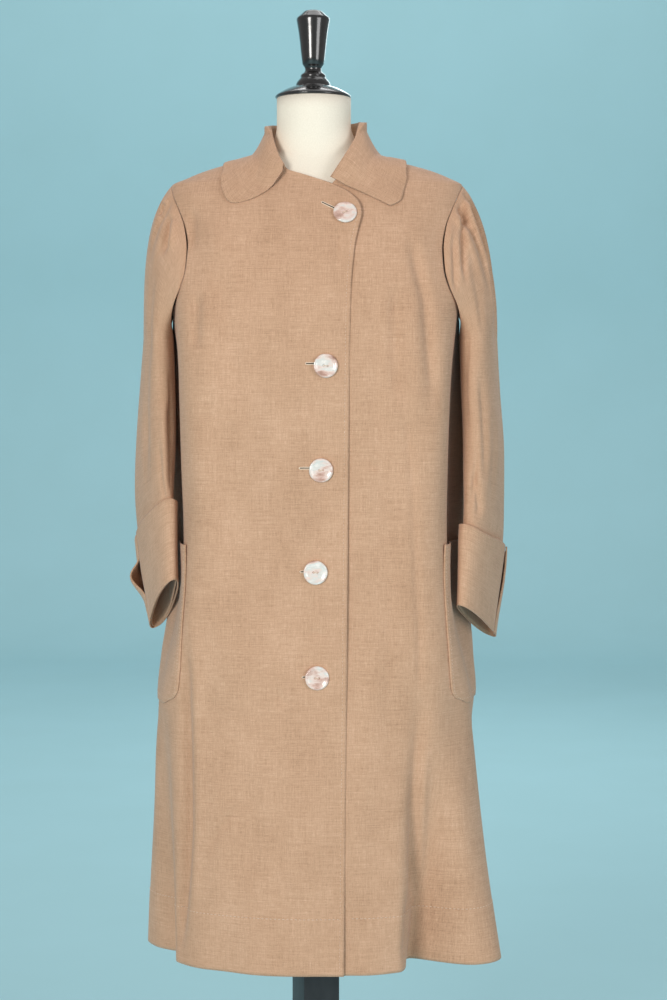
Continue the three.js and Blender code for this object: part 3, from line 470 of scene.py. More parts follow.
def offset(nodes, links, source, amount):
    node = nodes.new("ShaderNodeMath")
    node.operation = "ADD"
    links.new(source, node.inputs[0])
    node.inputs[1].default_value = amount
    return node.outputs[0]


def linen_material(name, turn=False):
    """Slubby plain-weave linen: thick and thin threads both ways, with a weave in the bump."""
    material, nodes, links, shader = node_material(name)
    source = nodes.new("ShaderNodeUVMap")
    source.uv_map = "cloth"
    uv = source.outputs["UV"]
    thread = noise_node(nodes, links, uv, (1500, 120, 1), 2)
    pick = noise_node(nodes, links, uv, (120, 1500, 1), 2)
    slub = noise_node(nodes, links, uv, (700, 24, 1), 2)
    slub_pick = noise_node(nodes, links, uv, (24, 700, 1), 2)
    fleck = noise_node(nodes, links, uv, (900, 800, 1), 2)
    cloud = noise_node(nodes, links, uv, (14, 9, 1), 4, 0.6)
    tone = combine(
        nodes,
        links,
        [(thread, 0.55), (pick, 0.55), (slub, 0.4), (slub_pick, 0.5), (fleck, 0.45), (cloud, 0.5)],
    )
    fac = offset(nodes, links, tone, 0.5)
    colour = ramp(
        nodes,
        links,
        fac,
        [
            (0.14, (0.355, 0.203, 0.122)),
            (0.38, (0.495, 0.294, 0.184)),
            (0.6, (0.573, 0.35, 0.227)),
            (0.86, (0.69, 0.445, 0.31)),
        ],
    )
    links.new(colour, shader.inputs["Base Color"])
    shader.inputs["Roughness"].default_value = 0.88
    shader.inputs["Specular IOR Level"].default_value = 0.25
    shader.inputs["Sheen Weight"].default_value = 0.18
    shader.inputs["Sheen Roughness"].default_value = 0.5
    height = combine(
        nodes, links, [(thread, 0.5), (pick, 0.5), (slub, 0.6), (slub_pick, 0.6), (fleck, 0.7)]
    )
    bump_node = nodes.new("ShaderNodeBump")
    bump_node.inputs["Strength"].default_value = 0.55
    bump_node.inputs["Distance"].default_value = 0.0006
    links.new(height, bump_node.inputs["Height"])
    links.new(bump_node.outputs["Normal"], shader.inputs["Normal"])
    return material


def object_material(name, stops, stretch, roughness, bump_height, coat=0.0, specular=0.5, detail=3):
    """A material whose colour and relief come from noise in the object's own coordinates."""
    material, nodes, links, shader = node_material(name)
    source = nodes.new("ShaderNodeTexCoord").outputs["Object"]
    tone = noise_node(nodes, links, source, stretch, detail)
    links.new(ramp(nodes, links, tone, stops), shader.inputs["Base Color"])
    shader.inputs["Roughness"].default_value = roughness
    shader.inputs["Specular IOR Level"].default_value = specular
    shader.inputs["Coat Weight"].default_value = coat
    shader.inputs["Coat Roughness"].default_value = 0.08
    bump_node = nodes.new("ShaderNodeBump")
    bump_node.inputs["Strength"].default_value = 0.5
    bump_node.inputs["Distance"].default_value = bump_height
    links.new(tone, bump_node.inputs["Height"])
    links.new(bump_node.outputs["Normal"], shader.inputs["Normal"])
    return material


LINEN = linen_material("linen")
THREAD = object_material(
    "linen_thread", [(0.3, (0.68, 0.5, 0.36)), (0.7, (0.82, 0.66, 0.52))], (2500, 2500, 2500), 0.7, 0.0001
)
JERSEY = object_material(
    "cream_jersey", [(0.3, (0.83, 0.75, 0.63)), (0.7, (0.89, 0.81, 0.69))], (900, 900, 500), 0.85, 0.0002, specular=0.3
)
LACQUER = object_material(
    "black_lacquer", [(0.3, (0.008, 0.007, 0.007)), (0.7, (0.016, 0.015, 0.015))], (60, 60, 260), 0.22, 0.00004, coat=0.6
)
PAINT = object_material(
    "black_paint", [(0.3, (0.012, 0.013, 0.015)), (0.7, (0.024, 0.025, 0.028))], (90, 90, 20), 0.42, 0.0001
)


def shell_material():
    """Mother-of-pearl: curved streaks of white, pink, green and grey under a polish; the dark brown and brown-pink
    among them are painted reflection of the tan linen round the buttons.
    """
    material, nodes, links, shader = node_material("pearl_shell")
    source = nodes.new("ShaderNodeNewGeometry").outputs["Position"]
    nacre_and_reflection_streaks = noise_node(nodes, links, source, (48, 60, 110), 2, 0.5)
    grain = noise_node(nodes, links, source, (500, 500, 900), 2)
    tone = offset(nodes, links, combine(nodes, links, [(nacre_and_reflection_streaks, 1.6), (grain, 0.25)]), 0.5)
    colour = ramp(
        nodes,
        links,
        tone,
        [
            # the dark brown and brown-pink stops are painted reflection of the tan linen; the pink, grey and white
            # stops are the shell's own colour
            (0.1, (0.36, 0.2, 0.15)),
            (0.32, (0.62, 0.4, 0.33)),
            (0.5, (0.8, 0.64, 0.57)),
            (0.66, (0.68, 0.66, 0.62)),
            (0.85, (0.9, 0.82, 0.77)),
        ],
    )
    links.new(colour, shader.inputs["Base Color"])
    shader.inputs["Roughness"].default_value = 0.16
    shader.inputs["Coat Weight"].default_value = 0.5
    shader.inputs["Coat Roughness"].default_value = 0.06
    return material


PEARL = shell_material()

# Body panels
def underarm_rows():
    """Heights close enough where the armhole runs in, so that no panel edge moves far from row to row."""
    fine = np.concatenate([np.arange(1182, 1195, 0.02), np.arange(1195, 1217, 0.1)])
    steps = np.diff(fine) / 3
    for behind in (False, True):
        edge = np.array([side_share(z, behind) * half_girth(z) for z in fine])
        steps = steps + np.abs(np.diff(edge)) / 3
    travelled = np.concatenate([[0], np.cumsum(steps)])
    return np.interp(np.arange(0, travelled[-1], 1.0), travelled, fine)


PANEL_ROWS = np.concatenate(
    [
        np.arange(HEM_Z, 1182, 4.0),
        underarm_rows(),
        np.arange(1219, 1342, 3.5),
        np.linspace(1342, NECK_SEAM_Z, 46),
    ]
)
SEAM_GAP = 0.3
UNDERLAP_DROP, UNDERLAP_NECK_DROP, UNDERLAP_RISE = 2.0, 1.2, 26.0


def right_edge_x(z):
    return along(RIGHT_EDGE, "x", z)


def front_arc(x, z):
    """Distance along the cloth from centre front to a place x from the centre plane."""
    return share_at_x(x, z) * half_girth(z)


def seam_gap_share(z):
    return SEAM_GAP / 2 / half_girth(z)


PANEL_EDGES = {
    "right_front": (
        lambda z: share_at_x(right_edge_x(z), z),
        lambda z: -side_share(z, False) + seam_gap_share(z),
    ),
    "left_front": (
        lambda z: share_at_x(along(LEFT_EDGE, "x", z), z),
        lambda z: side_share(z, False) - seam_gap_share(z),
    ),
    "back": (
        lambda z: side_share(z, True) + seam_gap_share(z),
        lambda z: 2 - side_share(z, True) - seam_gap_share(z),
    ),
}


def panel_base(name, count, rows=PANEL_ROWS):
    """A panel's points, the shares of the half girth they lie at, and their places along the cloth."""
    start, end = PANEL_EDGES[name]
    t = np.linspace(0, 1, count)
    shares = np.stack([mix(start(z), end(z), t) for z in rows])
    points = np.stack([body_surface(share, z) for share, z in zip(shares, rows)])
    girths = np.array([half_girth(z) for z in rows])[:, None]
    if name == "back":
        where = (shares - 1) * girths * -1
    else:
        where = shares * girths
    return points, shares, where


def on_front(points):
    """Crease points given as x and z, turned into places along the cloth."""
    return [(front_arc(x, z), z) for x, z in points]


# depth (hollows are negative), half width, fade at the start and at the end, and the line as x, z
LEFT_FRONT_CREASES = [
    (-3.2, 10, 0.25, 0.3, on_front([(104, 1225), (104, 1150), (105, 1095), (113, 1050)])),
    (-1.7, 5, 0.15, 0.1, on_front([(113, 1068), (119, 1030), (126, 965), (128, 908), (131, 832), (135, 775), (136, 683)])),
    (-4.0, 11, 0.35, 0.15, on_front([(136, 720), (136, 619), (133, 540), (136, 470), (142, 400)])),
    (2.6, 7, 0.3, 0.2, on_front([(141, 660), (142, 600), (145, 540), (149, 480), (154, 420)])),
    (-3.4, 9, 0.2, 0.35, on_front([(122, 1293), (133, 1241), (144, 1196), (148, 1145), (151, 1100), (152, 1040)])),
    (1.8, 12, 0.3, 0.3, on_front([(124, 1215), (127, 1150), (130, 1080), (132, 1020)])),
    (-1.6, 12, 0.3, 0.4, on_front([(72, 1240), (78, 1150), (80, 1060), (84, 980)])),
    (-1.4, 10, 0.4, 0.4, on_front([(92, 900), (96, 800), (94, 700), (98, 600)])),
    (-2.0, 9, 0.3, 0.3, on_front([(128, 440), (122, 380), (118, 332)])),
    (-1.0, 4, 0.3, 0.3, on_front([(60, 1010), (70, 985), (86, 978)])),
]
RIGHT_FRONT_CREASES = [
    (-2.8, 15, 0.25, 0.35, on_front([(-127, 1267), (-117, 1196), (-110, 1145), (-105, 1094), (-102, 1040)])),
    (1.8, 14, 0.3, 0.3, on_front([(-138, 1220), (-138, 1130), (-136, 1042)])),
    (-2.2, 8, 0.3, 0.3, on_front([(-153, 1212), (-154, 1170), (-153, 1128)])),
    (-2.5, 8, 0.3, 0.4, on_front([(-163, 1325), (-163, 1290), (-160, 1255)])),
    (-4.5, 9, 0.2, 0.15, on_front([(-166, 780), (-166, 640), (-166, 516), (-168, 465), (-174, 400), (-178, 332)])),
    (2.6, 11, 0.25, 0.25, on_front([(-152, 760), (-152, 640), (-152, 516), (-156, 440), (-162, 360)])),
    (-0.9, 4, 0.3, 0.3, on_front([(-51, 700), (-45, 688), (-36, 672)])),
    (-1.1, 5, 0.3, 0.3, on_front([(-101, 550), (-115, 525), (-130, 500), (-134, 474)])),
    (-0.8, 3.5, 0.3, 0.3, on_front([(-10, 771), (4, 769), (17, 764)])),
    (-0.8, 4, 0.3, 0.4, on_front([(31, 1293), (29, 1260), (28, 1230)])),
    (-0.8, 4, 0.3, 0.3, on_front([(-17, 1078), (-18, 1058), (-17, 1036)])),
    (-0.8, 4, 0.3, 0.3, on_front([(15, 968), (14, 950), (12, 930)])),
    (-0.9, 4, 0.3, 0.3, on_front([(-17, 905), (-18, 878), (-17, 848)])),
    (-1.2, 16, 0.4, 0.4, on_front([(-60, 1180), (-52, 1060), (-56, 940)])),
    (-1.3, 14, 0.4, 0.4, on_front([(-84, 620), (-80, 520), (-88, 420)])),
    (1.0, 12, 0.4, 0.4, on_front([(-30, 620), (-26, 500), (-30, 380)])),
    (-1.0, 9, 0.4, 0.4, on_front([(-70, 1320), (-76, 1290), (-84, 1250)])),
]
# on the back the lines are given as distances from centre back, positive to the wearer's left
BACK_CREASES = [
    (-2.6, 13, 0.3, 0.35, [(120, 1270), (112, 1200), (106, 1130), (104, 1060)]),
    (-2.4, 12, 0.3, 0.35, [(-124, 1275), (-114, 1195), (-108, 1120), (-104, 1050)]),
    (-2.2, 9, 0.3, 0.4, [(150, 1250), (147, 1190), (140, 1120)]),
    (-2.0, 9, 0.3, 0.4, [(-148, 1246), (-146, 1186), (-138, 1110)]),
    (-1.8, 14, 0.4, 0.4, [(40, 1060), (46, 960), (52, 840), (60, 700)]),
    (-1.9, 15, 0.4, 0.4, [(-46, 1040), (-52, 930), (-60, 800), (-72, 660)]),
    (1.6, 14, 0.4, 0.4, [(0, 1000), (4, 860), (-2, 700)]),
    (-2.8, 10, 0.4, 0.15, [(150, 760), (156, 640), (150, 500), (160, 380)]),
    (-2.4, 10, 0.4, 0.15, [(-160, 740), (-166, 620), (-158, 480), (-170, 360)]),
    (-1.0, 5, 0.3, 0.3, [(30, 1250), (60, 1244), (88, 1228)]),
    (-1.0, 5, 0.3, 0.3, [(-24, 1180), (-54, 1172), (-84, 1156)]),
    (-0.9, 4, 0.3, 0.3, [(70, 560), (84, 540), (92, 512)]),
    (-0.9, 4, 0.3, 0.3, [(-40, 470), (-58, 458), (-70, 436)]),
]
HEM_DEPTH = 75.0


def hem_and_seams(name, where, z, shares):
    """Low relief of the turned-up hem, of the seams and of the free edges."""
    relief = 0.45 * ease((HEM_Z + HEM_DEPTH - z) / 5)
    to_seam = np.abs(where - where[:, -1:])
    below_arm = ease((UNDERARM_Z - z) / 25)
    relief -= 0.8 * np.exp(-((to_seam / 2.2) ** 2)) * below_arm
    relief += 0.35 * np.exp(-(((to_seam - 9) / 5) ** 2)) * below_arm
    from_edge = np.abs(where - where[:, :1])
    if name == "back":
        relief -= 0.8 * np.exp(-((from_edge / 2.2) ** 2)) * below_arm
    else:
        relief += 0.5 * ease((5 - from_edge) / 5)
    return relief


def underlap_lift(points, z):
    past = points[..., 0] - right_edge_x(z)
    drop = UNDERLAP_DROP + UNDERLAP_NECK_DROP * ease((z - 1250) / 60)
    lift = -drop * (1 - ease((past - 3) / UNDERLAP_RISE))
    return np.where((z > NECK_SEAM_Z - 40) & (past > 0), 0, lift)


PANEL_CREASES = {"right_front": RIGHT_FRONT_CREASES, "left_front": LEFT_FRONT_CREASES, "back": BACK_CREASES}
PANEL_COLUMNS = {"right_front": 110, "left_front": 100, "back": 124}
CREASE_STRENGTH = 1.8
SLEEVE_CREASE_STRENGTH = 1.5
PANEL_SEEDS = {"right_front": 3, "left_front": 8, "back": 14}


def panel_outer(name, rows=PANEL_ROWS, count=None):
    """A panel's finished outer surface and its normals."""
    points, shares, where = panel_base(name, count or PANEL_COLUMNS[name], rows)
    normals = np.stack([body_normals(share, z) for share, z in zip(shares, rows)])
    z = points[..., 2]
    calm = ease((1330 - z) / 60)
    relief = CREASE_STRENGTH * crease_relief(PANEL_CREASES[name], where, z)
    relief += undulation(where, z, PANEL_SEEDS[name], 3.4) * calm
    relief *= ease((SHOULDER_TIP_Z + 8 - z) / 40)
    relief += hem_and_seams(name, where, z, shares)
    if name == "left_front":
        lift = underlap_lift(points, z)
        relief = np.where(lift < -0.5, np.minimum(relief, 0.4), relief) + lift
    if name == "right_front":
        corner = np.hypot(points[..., 0] - 58, z - 1318)
        relief += 2.2 * np.exp(-((corner / 22) ** 2))
    return points + normals * relief[..., None], normals, where


PANELS = {}
for panel_name in PANEL_EDGES:
    outer, normals, where = panel_outer(panel_name)
    PANELS[panel_name] = outer, normals, where
    uv = np.stack([where, outer[..., 2]], axis=-1) * MM
    piece = shell(panel_name + "_cloth", outer, outer - normals * CLOTH, LINEN, uv)
    cloth_piece(piece, panel_name)


def on_panel(name, where_at, z_at, lift=0.0):
    """A point and normal on a panel's finished surface, by place along the cloth and height."""
    outer, normals, where = PANELS[name]
    row = int(np.clip(np.searchsorted(PANEL_ROWS, z_at) - 1, 0, len(PANEL_ROWS) - 2))
    t = (z_at - PANEL_ROWS[row]) / (PANEL_ROWS[row + 1] - PANEL_ROWS[row])
    found = []
    for k in (row, row + 1):
        order = np.argsort(where[k])
        found.append(
            [np.interp(where_at, where[k][order], source[k][order, axis]) for source in (outer, normals) for axis in range(3)]
        )
    values = mix(np.array(found[0]), np.array(found[1]), t)
    normal = values[3:] / np.linalg.norm(values[3:])
    return values[:3] + normal * lift, normal


# Sleeves
SLEEVES = {
    LEFT: {
        "name": "left",
        "sections": columns(
            "z x y across along turn",
            [
                (771, 216, -20, 14, 63, 21),
                (850, 222.5, -14, 17, 67, 20),
                (920, 226.5, -9, 22, 70, 16),
                (1000, 227, -4, 25, 73, 12),
                (1080, 223, 0, 24, 75, 11),
                (1150, 219.5, 2, 24.5, 75, 8),
            ],
        ),
        "end_slope": (-0.332, -0.311),
        "cap_out": 0.24,
        "flare": (4, 0.7, 0.7),
    },
    RIGHT: {
        "name": "right",
        "sections": columns(
            "z x y across along turn",
            [
                (795, 202.5, -32, 13, 60, 14),
                (877, 212.5, -21, 14, 66, 19),
                (960, 216.5, -13, 20.5, 70, 18),
                (1027, 215.5, -6, 22.5, 73, 14),
                (1094, 214, 0, 21.5, 74, 10),
                (1150, 212.5, 2, 20, 75, 7),
            ],
        ),
        "end_slope": (-0.45, -0.5),
        "cap_out": 0.25,
        "flare": (15, 0.52, 0.24),
    },
}
# side, place round from the shoulder tip (forward first), reach, height, how far down it goes
PLEATS = [
    (LEFT, 0.985, 0.022, -9, 1.35),
    (LEFT, 0.955, 0.03, 6, 1.3),
    (LEFT, 0.035, 0.02, -6, 0.75),
    (LEFT, 0.062, 0.024, 4, 0.9),
    (LEFT, 0.095, 0.02, -6, 0.85),
    (LEFT, 0.125, 0.024, 4, 0.9),
    (LEFT, 0.92, 0.02, -5, 0.8),
    (RIGHT, 0.02, 0.018, -5, 0.3),
    (RIGHT, 0.05, 0.02, 3, 0.5),
    (RIGHT, 0.075, 0.02, -5, 0.6),
    (RIGHT, 0.11, 0.024, 3, 0.7),
    (RIGHT, 0.96, 0.02, -5, 0.5),
    (RIGHT, 0.92, 0.02, -4, 0.6),
]
# long, soft creases of the hanging sleeves: side, depth, half width in mm, fades, line as place and height
SLEEVE_CREASES = [
    (RIGHT, -2.6, 8, 0.3, 0.3, [(0.33, 1120), (0.345, 1040), (0.36, 960), (0.355, 900)]),
    (RIGHT, -2.0, 7, 0.3, 0.3, [(0.19, 1010), (0.2, 950), (0.22, 890)]),
    (RIGHT, -2.2, 9, 0.3, 0.4, [(0.12, 1250), (0.13, 1170), (0.14, 1100)]),
    (RIGHT, -1.8, 9, 0.3, 0.4, [(0.07, 1080), (0.08, 1000), (0.075, 920)]),
    (RIGHT, -2.4, 10, 0.3, 0.4, [(0.8, 1200), (0.78, 1080), (0.8, 960)]),
    (RIGHT, -2.0, 9, 0.3, 0.4, [(0.68, 1150), (0.66, 1040), (0.68, 930)]),
    (LEFT, -4.0, 8, 0.15, 0.35, [(0.03, 1330), (0.045, 1270), (0.05, 1200), (0.04, 1120)]),
    (LEFT, -2.2, 8, 0.3, 0.4, [(0.14, 1300), (0.17, 1220), (0.19, 1140)]),
    (LEFT, -2.4, 9, 0.3, 0.4, [(0.3, 1180), (0.33, 1100), (0.34, 1000)]),
    (LEFT, -2.0, 8, 0.3, 0.4, [(0.24, 1000), (0.26, 940), (0.3, 890)]),
    (LEFT, -1.8, 9, 0.3, 0.4, [(0.1, 1060), (0.11, 980), (0.1, 900)]),
    (LEFT, -2.6, 10, 0.3, 0.4, [(0.82, 1220), (0.8, 1100), (0.81, 980)]),
    (LEFT, -2.0, 9, 0.3, 0.4, [(0.7, 1150), (0.68, 1050), (0.7, 940)]),
]
# creases seen from the front: side, depth, half width, fades, line as distance from the centre plane and height
SLEEVE_FRONT_CREASES = [
    (LEFT, -7.5, 5.5, 0.1, 0.3, [(210, 1342), (214, 1323), (223, 1299), (228, 1283), (238, 1253), (242, 1222), (247, 1189), (250, 1162), (253, 1130)]),
    (LEFT, 3.2, 5.0, 0.1, 0.3, [(200, 1341), (204, 1323), (213, 1299), (217, 1283), (227, 1253), (231, 1222), (236, 1189), (239, 1150)]),
    (LEFT, -5.0, 3.8, 0.12, 0.35, [(200, 1339), (196, 1326), (199, 1307), (196, 1291), (196, 1254), (198, 1214)]),
    (LEFT, -2.5, 3.6, 0.2, 0.3, [(196, 1339), (194, 1326), (190, 1312)]),
    (LEFT, -2.8, 4.0, 0.3, 0.3, [(182, 1291), (183, 1251), (184, 1203)]),
    (LEFT, 2.4, 4.0, 0.3, 0.3, [(178, 1305), (176, 1290), (176, 1272)]),
    (LEFT, -3.0, 5.0, 0.3, 0.3, [(205, 980), (212, 951), (216, 928), (212, 908)]),
    (LEFT, -2.6, 6.0, 0.3, 0.3, [(216, 1120), (222, 1060), (225, 1000), (224, 950)]),
    (RIGHT, -6.0, 3.6, 0.15, 0.35, [(205, 1333), (208, 1323), (212, 1312)]),
    (RIGHT, -4.5, 4.2, 0.2, 0.3, [(194, 1318), (196, 1300), (198, 1281), (202, 1255)]),
    (RIGHT, 2.5, 4.5, 0.2, 0.3, [(186, 1310), (188, 1285), (192, 1262)]),
    (RIGHT, -3.2, 4.5, 0.3, 0.3, [(191, 1075), (190, 1035), (189, 1001), (188, 935)]),
    (RIGHT, 2.0, 5.0, 0.3, 0.3, [(199, 1080), (198, 1035), (197, 1001), (196, 935)]),
    (RIGHT, -2.8, 6.0, 0.3, 0.3, [(222, 1180), (226, 1110), (228, 1040), (226, 970)]),
]
SLEEVE_SQUARE = 2.5
SLEEVE_GIRTH = 330.0
CAP_END_Z = 1150.0


def armhole_loop(side):
    steps = 90
    heights = mix(SHOULDER_TIP_Z, UNDERARM_Z, 0.5 - 0.5 * np.cos(np.pi * np.arange(steps + 1) / steps))
    front = [body_surface(side * side_share(z, False), z)[0] for z in heights]
    behind = [body_surface(side * side_share(z, True), z)[0] for z in heights[-2:0:-1]]
    loop = np.array(front + behind + front[:1])
    arc = np.concatenate([[0], np.cumsum(np.linalg.norm(np.diff(loop, axis=0), axis=1))])
    return lambda place: np.stack([np.interp(place * arc[-1], arc, loop[:, axis]) for axis in range(3)], axis=-1)


def sleeve_section(side, place, hang, grow=0.0):
    """Points of a sleeve's section; hang is its nominal height and grow widens it."""
    place, hang, grow = np.broadcast_arrays(np.asarray(place, float), np.asarray(hang, float), np.asarray(grow, float))
    sections = SLEEVES[side]["sections"]
    slope_x, slope_y = SLEEVES[side]["end_slope"]
    angle = 2 * np.pi * place
    across = along(sections, "across", hang) + grow
    length = along(sections, "along", hang) + grow
    spread = np.arctan2(np.sin(angle) * length, np.cos(angle) * across)
    radius = (
        np.abs(np.cos(spread) / across) ** SLEEVE_SQUARE + np.abs(np.sin(spread) / length) ** SLEEVE_SQUARE
    ) ** (-1 / SLEEVE_SQUARE)
    turn = np.radians(along(sections, "turn", hang))
    u, v = radius * np.cos(spread), -radius * np.sin(spread)
    x = u * np.cos(turn) + v * np.sin(turn)
    y = v * np.cos(turn)
    end = sections["z"][0]
    tilt = ease((CAP_END_Z - 40 - hang) / (CAP_END_Z - 40 - end))
    return np.stack(
        [
            side * (along(sections, "x", hang) + x),
            along(sections, "y", hang) + y,
            hang + tilt * (slope_x * x + slope_y * y),
        ],
        axis=-1,
    )


def pleats_at(side, place, down):
    out = np.zeros(np.broadcast(place, down).shape)
    for pleat_side, at, reach, height, end in PLEATS:
        if pleat_side != side:
            continue
        away = np.abs(place - at)
        strength = ease(down / 0.12) * (1 - ease(down / end))
        out += height * strength * bump(np.minimum(away, 1 - away), reach)
    return out


SLEEVE_PLACES = np.arange(176) / 176
CAP_DOWNS = np.linspace(0, 1, 72)


def sleeve_grid(side):
    """A sleeve's outer points from the armhole to its end, with each row's nominal height."""
    cap_out = SLEEVES[side]["cap_out"]
    place = SLEEVE_PLACES[None, :]
    angle = 2 * np.pi * place
    start = armhole_loop(side)(SLEEVE_PLACES)[None]
    start = start + np.stack([np.full(place.shape, side * 0.35), 0 * place, 0 * place], axis=-1)
    end = sleeve_section(side, place, CAP_END_Z)
    length = np.linalg.norm(end - start, axis=-1, keepdims=True)
    leave = length * np.stack(
        [side * (0.2 + cap_out * (1 + 0.5 * np.cos(angle))), -0.4 * np.sin(angle), -0.6 + 0 * angle], axis=-1
    )
    arrive = length * np.array([0, 0, -0.95])
    t = CAP_DOWNS[:, None, None]
    cap = (
        start * (1 + 2 * t) * (1 - t) ** 2
        + end * t * t * (3 - 2 * t)
        + leave * t * (1 - t) ** 2
        - arrive * t * t * (1 - t)
    )
    low = SLEEVES[side]["sections"]["z"][0] + 1
    hangs = np.linspace(CAP_END_Z, low, int((CAP_END_Z - low) / 4.2))[1:]
    tube = sleeve_section(side, place, hangs[:, None])
    grid = np.concatenate([cap, tube])
    down = np.concatenate([CAP_DOWNS, 1 + (CAP_END_Z - hangs) / 300])[:, None]
    heights = np.concatenate([mix(1340, CAP_END_Z, CAP_DOWNS), hangs])[:, None]
    middle = grid.mean(axis=1, keepdims=True)
    out = grid - middle
    out[..., 1] *= 0.4
    out[..., 2] = 0
    out /= np.linalg.norm(out, axis=-1, keepdims=True)
    grid = grid + out * pleats_at(side, place, down)[..., None]
    return grid, place + 0 * down, heights + 0 * place


def sleeve_relief(side, place, height):
    girth = SLEEVE_GIRTH
    relief = np.zeros(place.shape)
    for crease_side, depth, width, fade_start, fade_end, points in SLEEVE_CREASES:
        if crease_side != side:
            continue
        line = [(at * girth, z) for at, z in points]
        relief += crease_relief([(depth, width, fade_start, fade_end, line)], place * girth, height)
    waves = undulation(place * girth, height, 31 + side, 2.2)
    seam = np.minimum(np.abs(place - 0.5), 1) * girth
    relief += waves * ease((1300 - height) / 80) * bump(place - 0.5, 0.5) * 0.9
    relief -= 0.7 * np.exp(-((seam / 2) ** 2))
    return relief


def sleeve_front_relief(side, points, normals):
    """Creases that are placed by where they are seen from the front, on what faces it."""
    facing = ease(-normals[..., 1] / 0.35)
    relief = np.zeros(facing.shape)
    for crease_side, *crease in SLEEVE_FRONT_CREASES:
        if crease_side == side:
            relief += crease_relief([crease], side * points[..., 0], points[..., 2])
    return SLEEVE_CREASE_STRENGTH * relief * facing


def wrapped_uv(place, height):
    """Metres round and along a tube, with the first column again at the end."""
    around = np.concatenate([place, place[:, :1] + 1], axis=1) * SLEEVE_GIRTH
    return np.stack([around, np.concatenate([height, height[:, :1]], axis=1)], axis=-1) * MM


SLEEVE_GRIDS = {}
for side in (RIGHT, LEFT):
    name = SLEEVES[side]["name"]
    grid, place, height = sleeve_grid(side)
    normals = grid_normals(grid, closed=True)
    centre = grid.mean(axis=1, keepdims=True)
    if (normals * (grid - centre))[80].sum() < 0:
        normals = -normals
    relief = sleeve_relief(side, place, height) + sleeve_front_relief(side, grid, normals)
    relief *= ease(np.arange(len(grid)) / 10)[:, None]
    outer = grid + normals * relief[..., None]
    SLEEVE_GRIDS[side] = outer
    piece = shell(f"{name}_sleeve_cloth", outer, outer - normals * CLOTH, LINEN, wrapped_uv(place, height), closed=True)
    cloth_piece(piece, f"{name}_sleeve")

# Cuffs
CUFF_SLIT = 0.93


def cuff_grid(side, count=120, rows=44):
    sections = SLEEVES[side]["sections"]
    end = sections["z"][0]
    flare_out, flare_at, flare_reach = SLEEVES[side]["flare"]
    up = np.linspace(0, 1, rows)[:, None]
    turn = 0.004 + 0.992 * np.linspace(0, 1, count)[None, :]
    place = (CUFF_SLIT + turn) % 1
    ripple = 0.5 * np.sin(2 * np.pi * (2.6 * turn + 0.15 * up) + side)
    grow = 1 + DOUBLE_CLOTH + (2.6 + 1.1 * ripple) * ease(up)
    points = sleeve_section(side, place, end + CUFF_DEPTH * up, grow)
    flare = flare_out * bump(up - flare_at, flare_reach) * ease((turn - 0.88) / 0.12)
    points[..., 0] += side * flare
    points[..., 2] += up**2 * (2.2 * np.sin(2 * np.pi * 1.7 * turn + 1 + side) + 1.2 * np.sin(2 * np.pi * 4.1 * turn))
    return points


for side in (RIGHT, LEFT):
    name = SLEEVES[side]["name"]
    outer = cuff_grid(side)
    normals = grid_normals(outer)
    centre = outer.mean(axis=1, keepdims=True)
    if (normals * (outer - centre))[20].sum() < 0:
        normals = -normals
    piece = shell(f"{name}_cuff_cloth", outer, outer - normals * DOUBLE_CLOTH, LINEN, cloth_uv(outer))
    cloth_piece(piece, f"{name}_cuff")

# Pockets
POCKET_TOP, POCKET_BOTTOM, POCKET_CORNER = 880.0, 668.0, 24.0
POCKET_FRONT = columns(
    "z x",
    [
        (668, 191), (672, 190), (680, 181), (692, 177), (708, 175.5), (725, 174), (748, 172.5), (770, 170.5), (795, 169),
        (820, 167.5), (852, 167), (880, 167),
    ],
)


def pocket_grid(side, count=60, rows=80):
    name = "left_front" if side == LEFT else "right_front"
    heights = np.linspace(POCKET_BOTTOM, POCKET_TOP, rows)
    outer = np.zeros((rows, count, 3))
    normals = np.zeros_like(outer)
    for i, z in enumerate(heights):
        low = np.clip((z - POCKET_BOTTOM) / POCKET_CORNER, 0, 1)
        rounded = POCKET_CORNER * (1 - math.sqrt(1 - (1 - low) ** 2)) * 0.8
        start = front_arc(along(POCKET_FRONT, "x", z), z) + rounded
        end = side_share(z, False) * half_girth(z) - 6
        up = (z - POCKET_BOTTOM) / (POCKET_TOP - POCKET_BOTTOM)
        for j, t in enumerate(np.linspace(0, 1, count)):
            place = mix(start, end, t)
            gape = 1.8 * ease((up - 0.6) / 0.4) * math.sin(math.pi * t) + 1.0 * ease((up - 0.9) / 0.1) * (1 - t)
            edge = min(t * (end - start), (1 - t) * (end - start), z - POCKET_BOTTOM)
            soft = 0.7 * (1 - math.exp(-edge / 5))
            hem = 0.35 * ease((z - (POCKET_TOP - 28)) / 2)
            point, normal = on_panel(name, side * place, z, 0.35 + gape + DOUBLE_CLOTH * 0.8 + soft + hem)
            outer[i, j], normals[i, j] = point, normal
    return outer, normals


POCKETS = {}
for side in (RIGHT, LEFT):
    name = SLEEVES[side]["name"]
    outer, normals = pocket_grid(side)
    POCKETS[side] = outer, normals
    piece = shell(f"{name}_pocket_cloth", outer, outer - normals * DOUBLE_CLOTH * 0.8, LINEN, cloth_uv(outer))
    cloth_piece(piece, f"{name}_pocket")

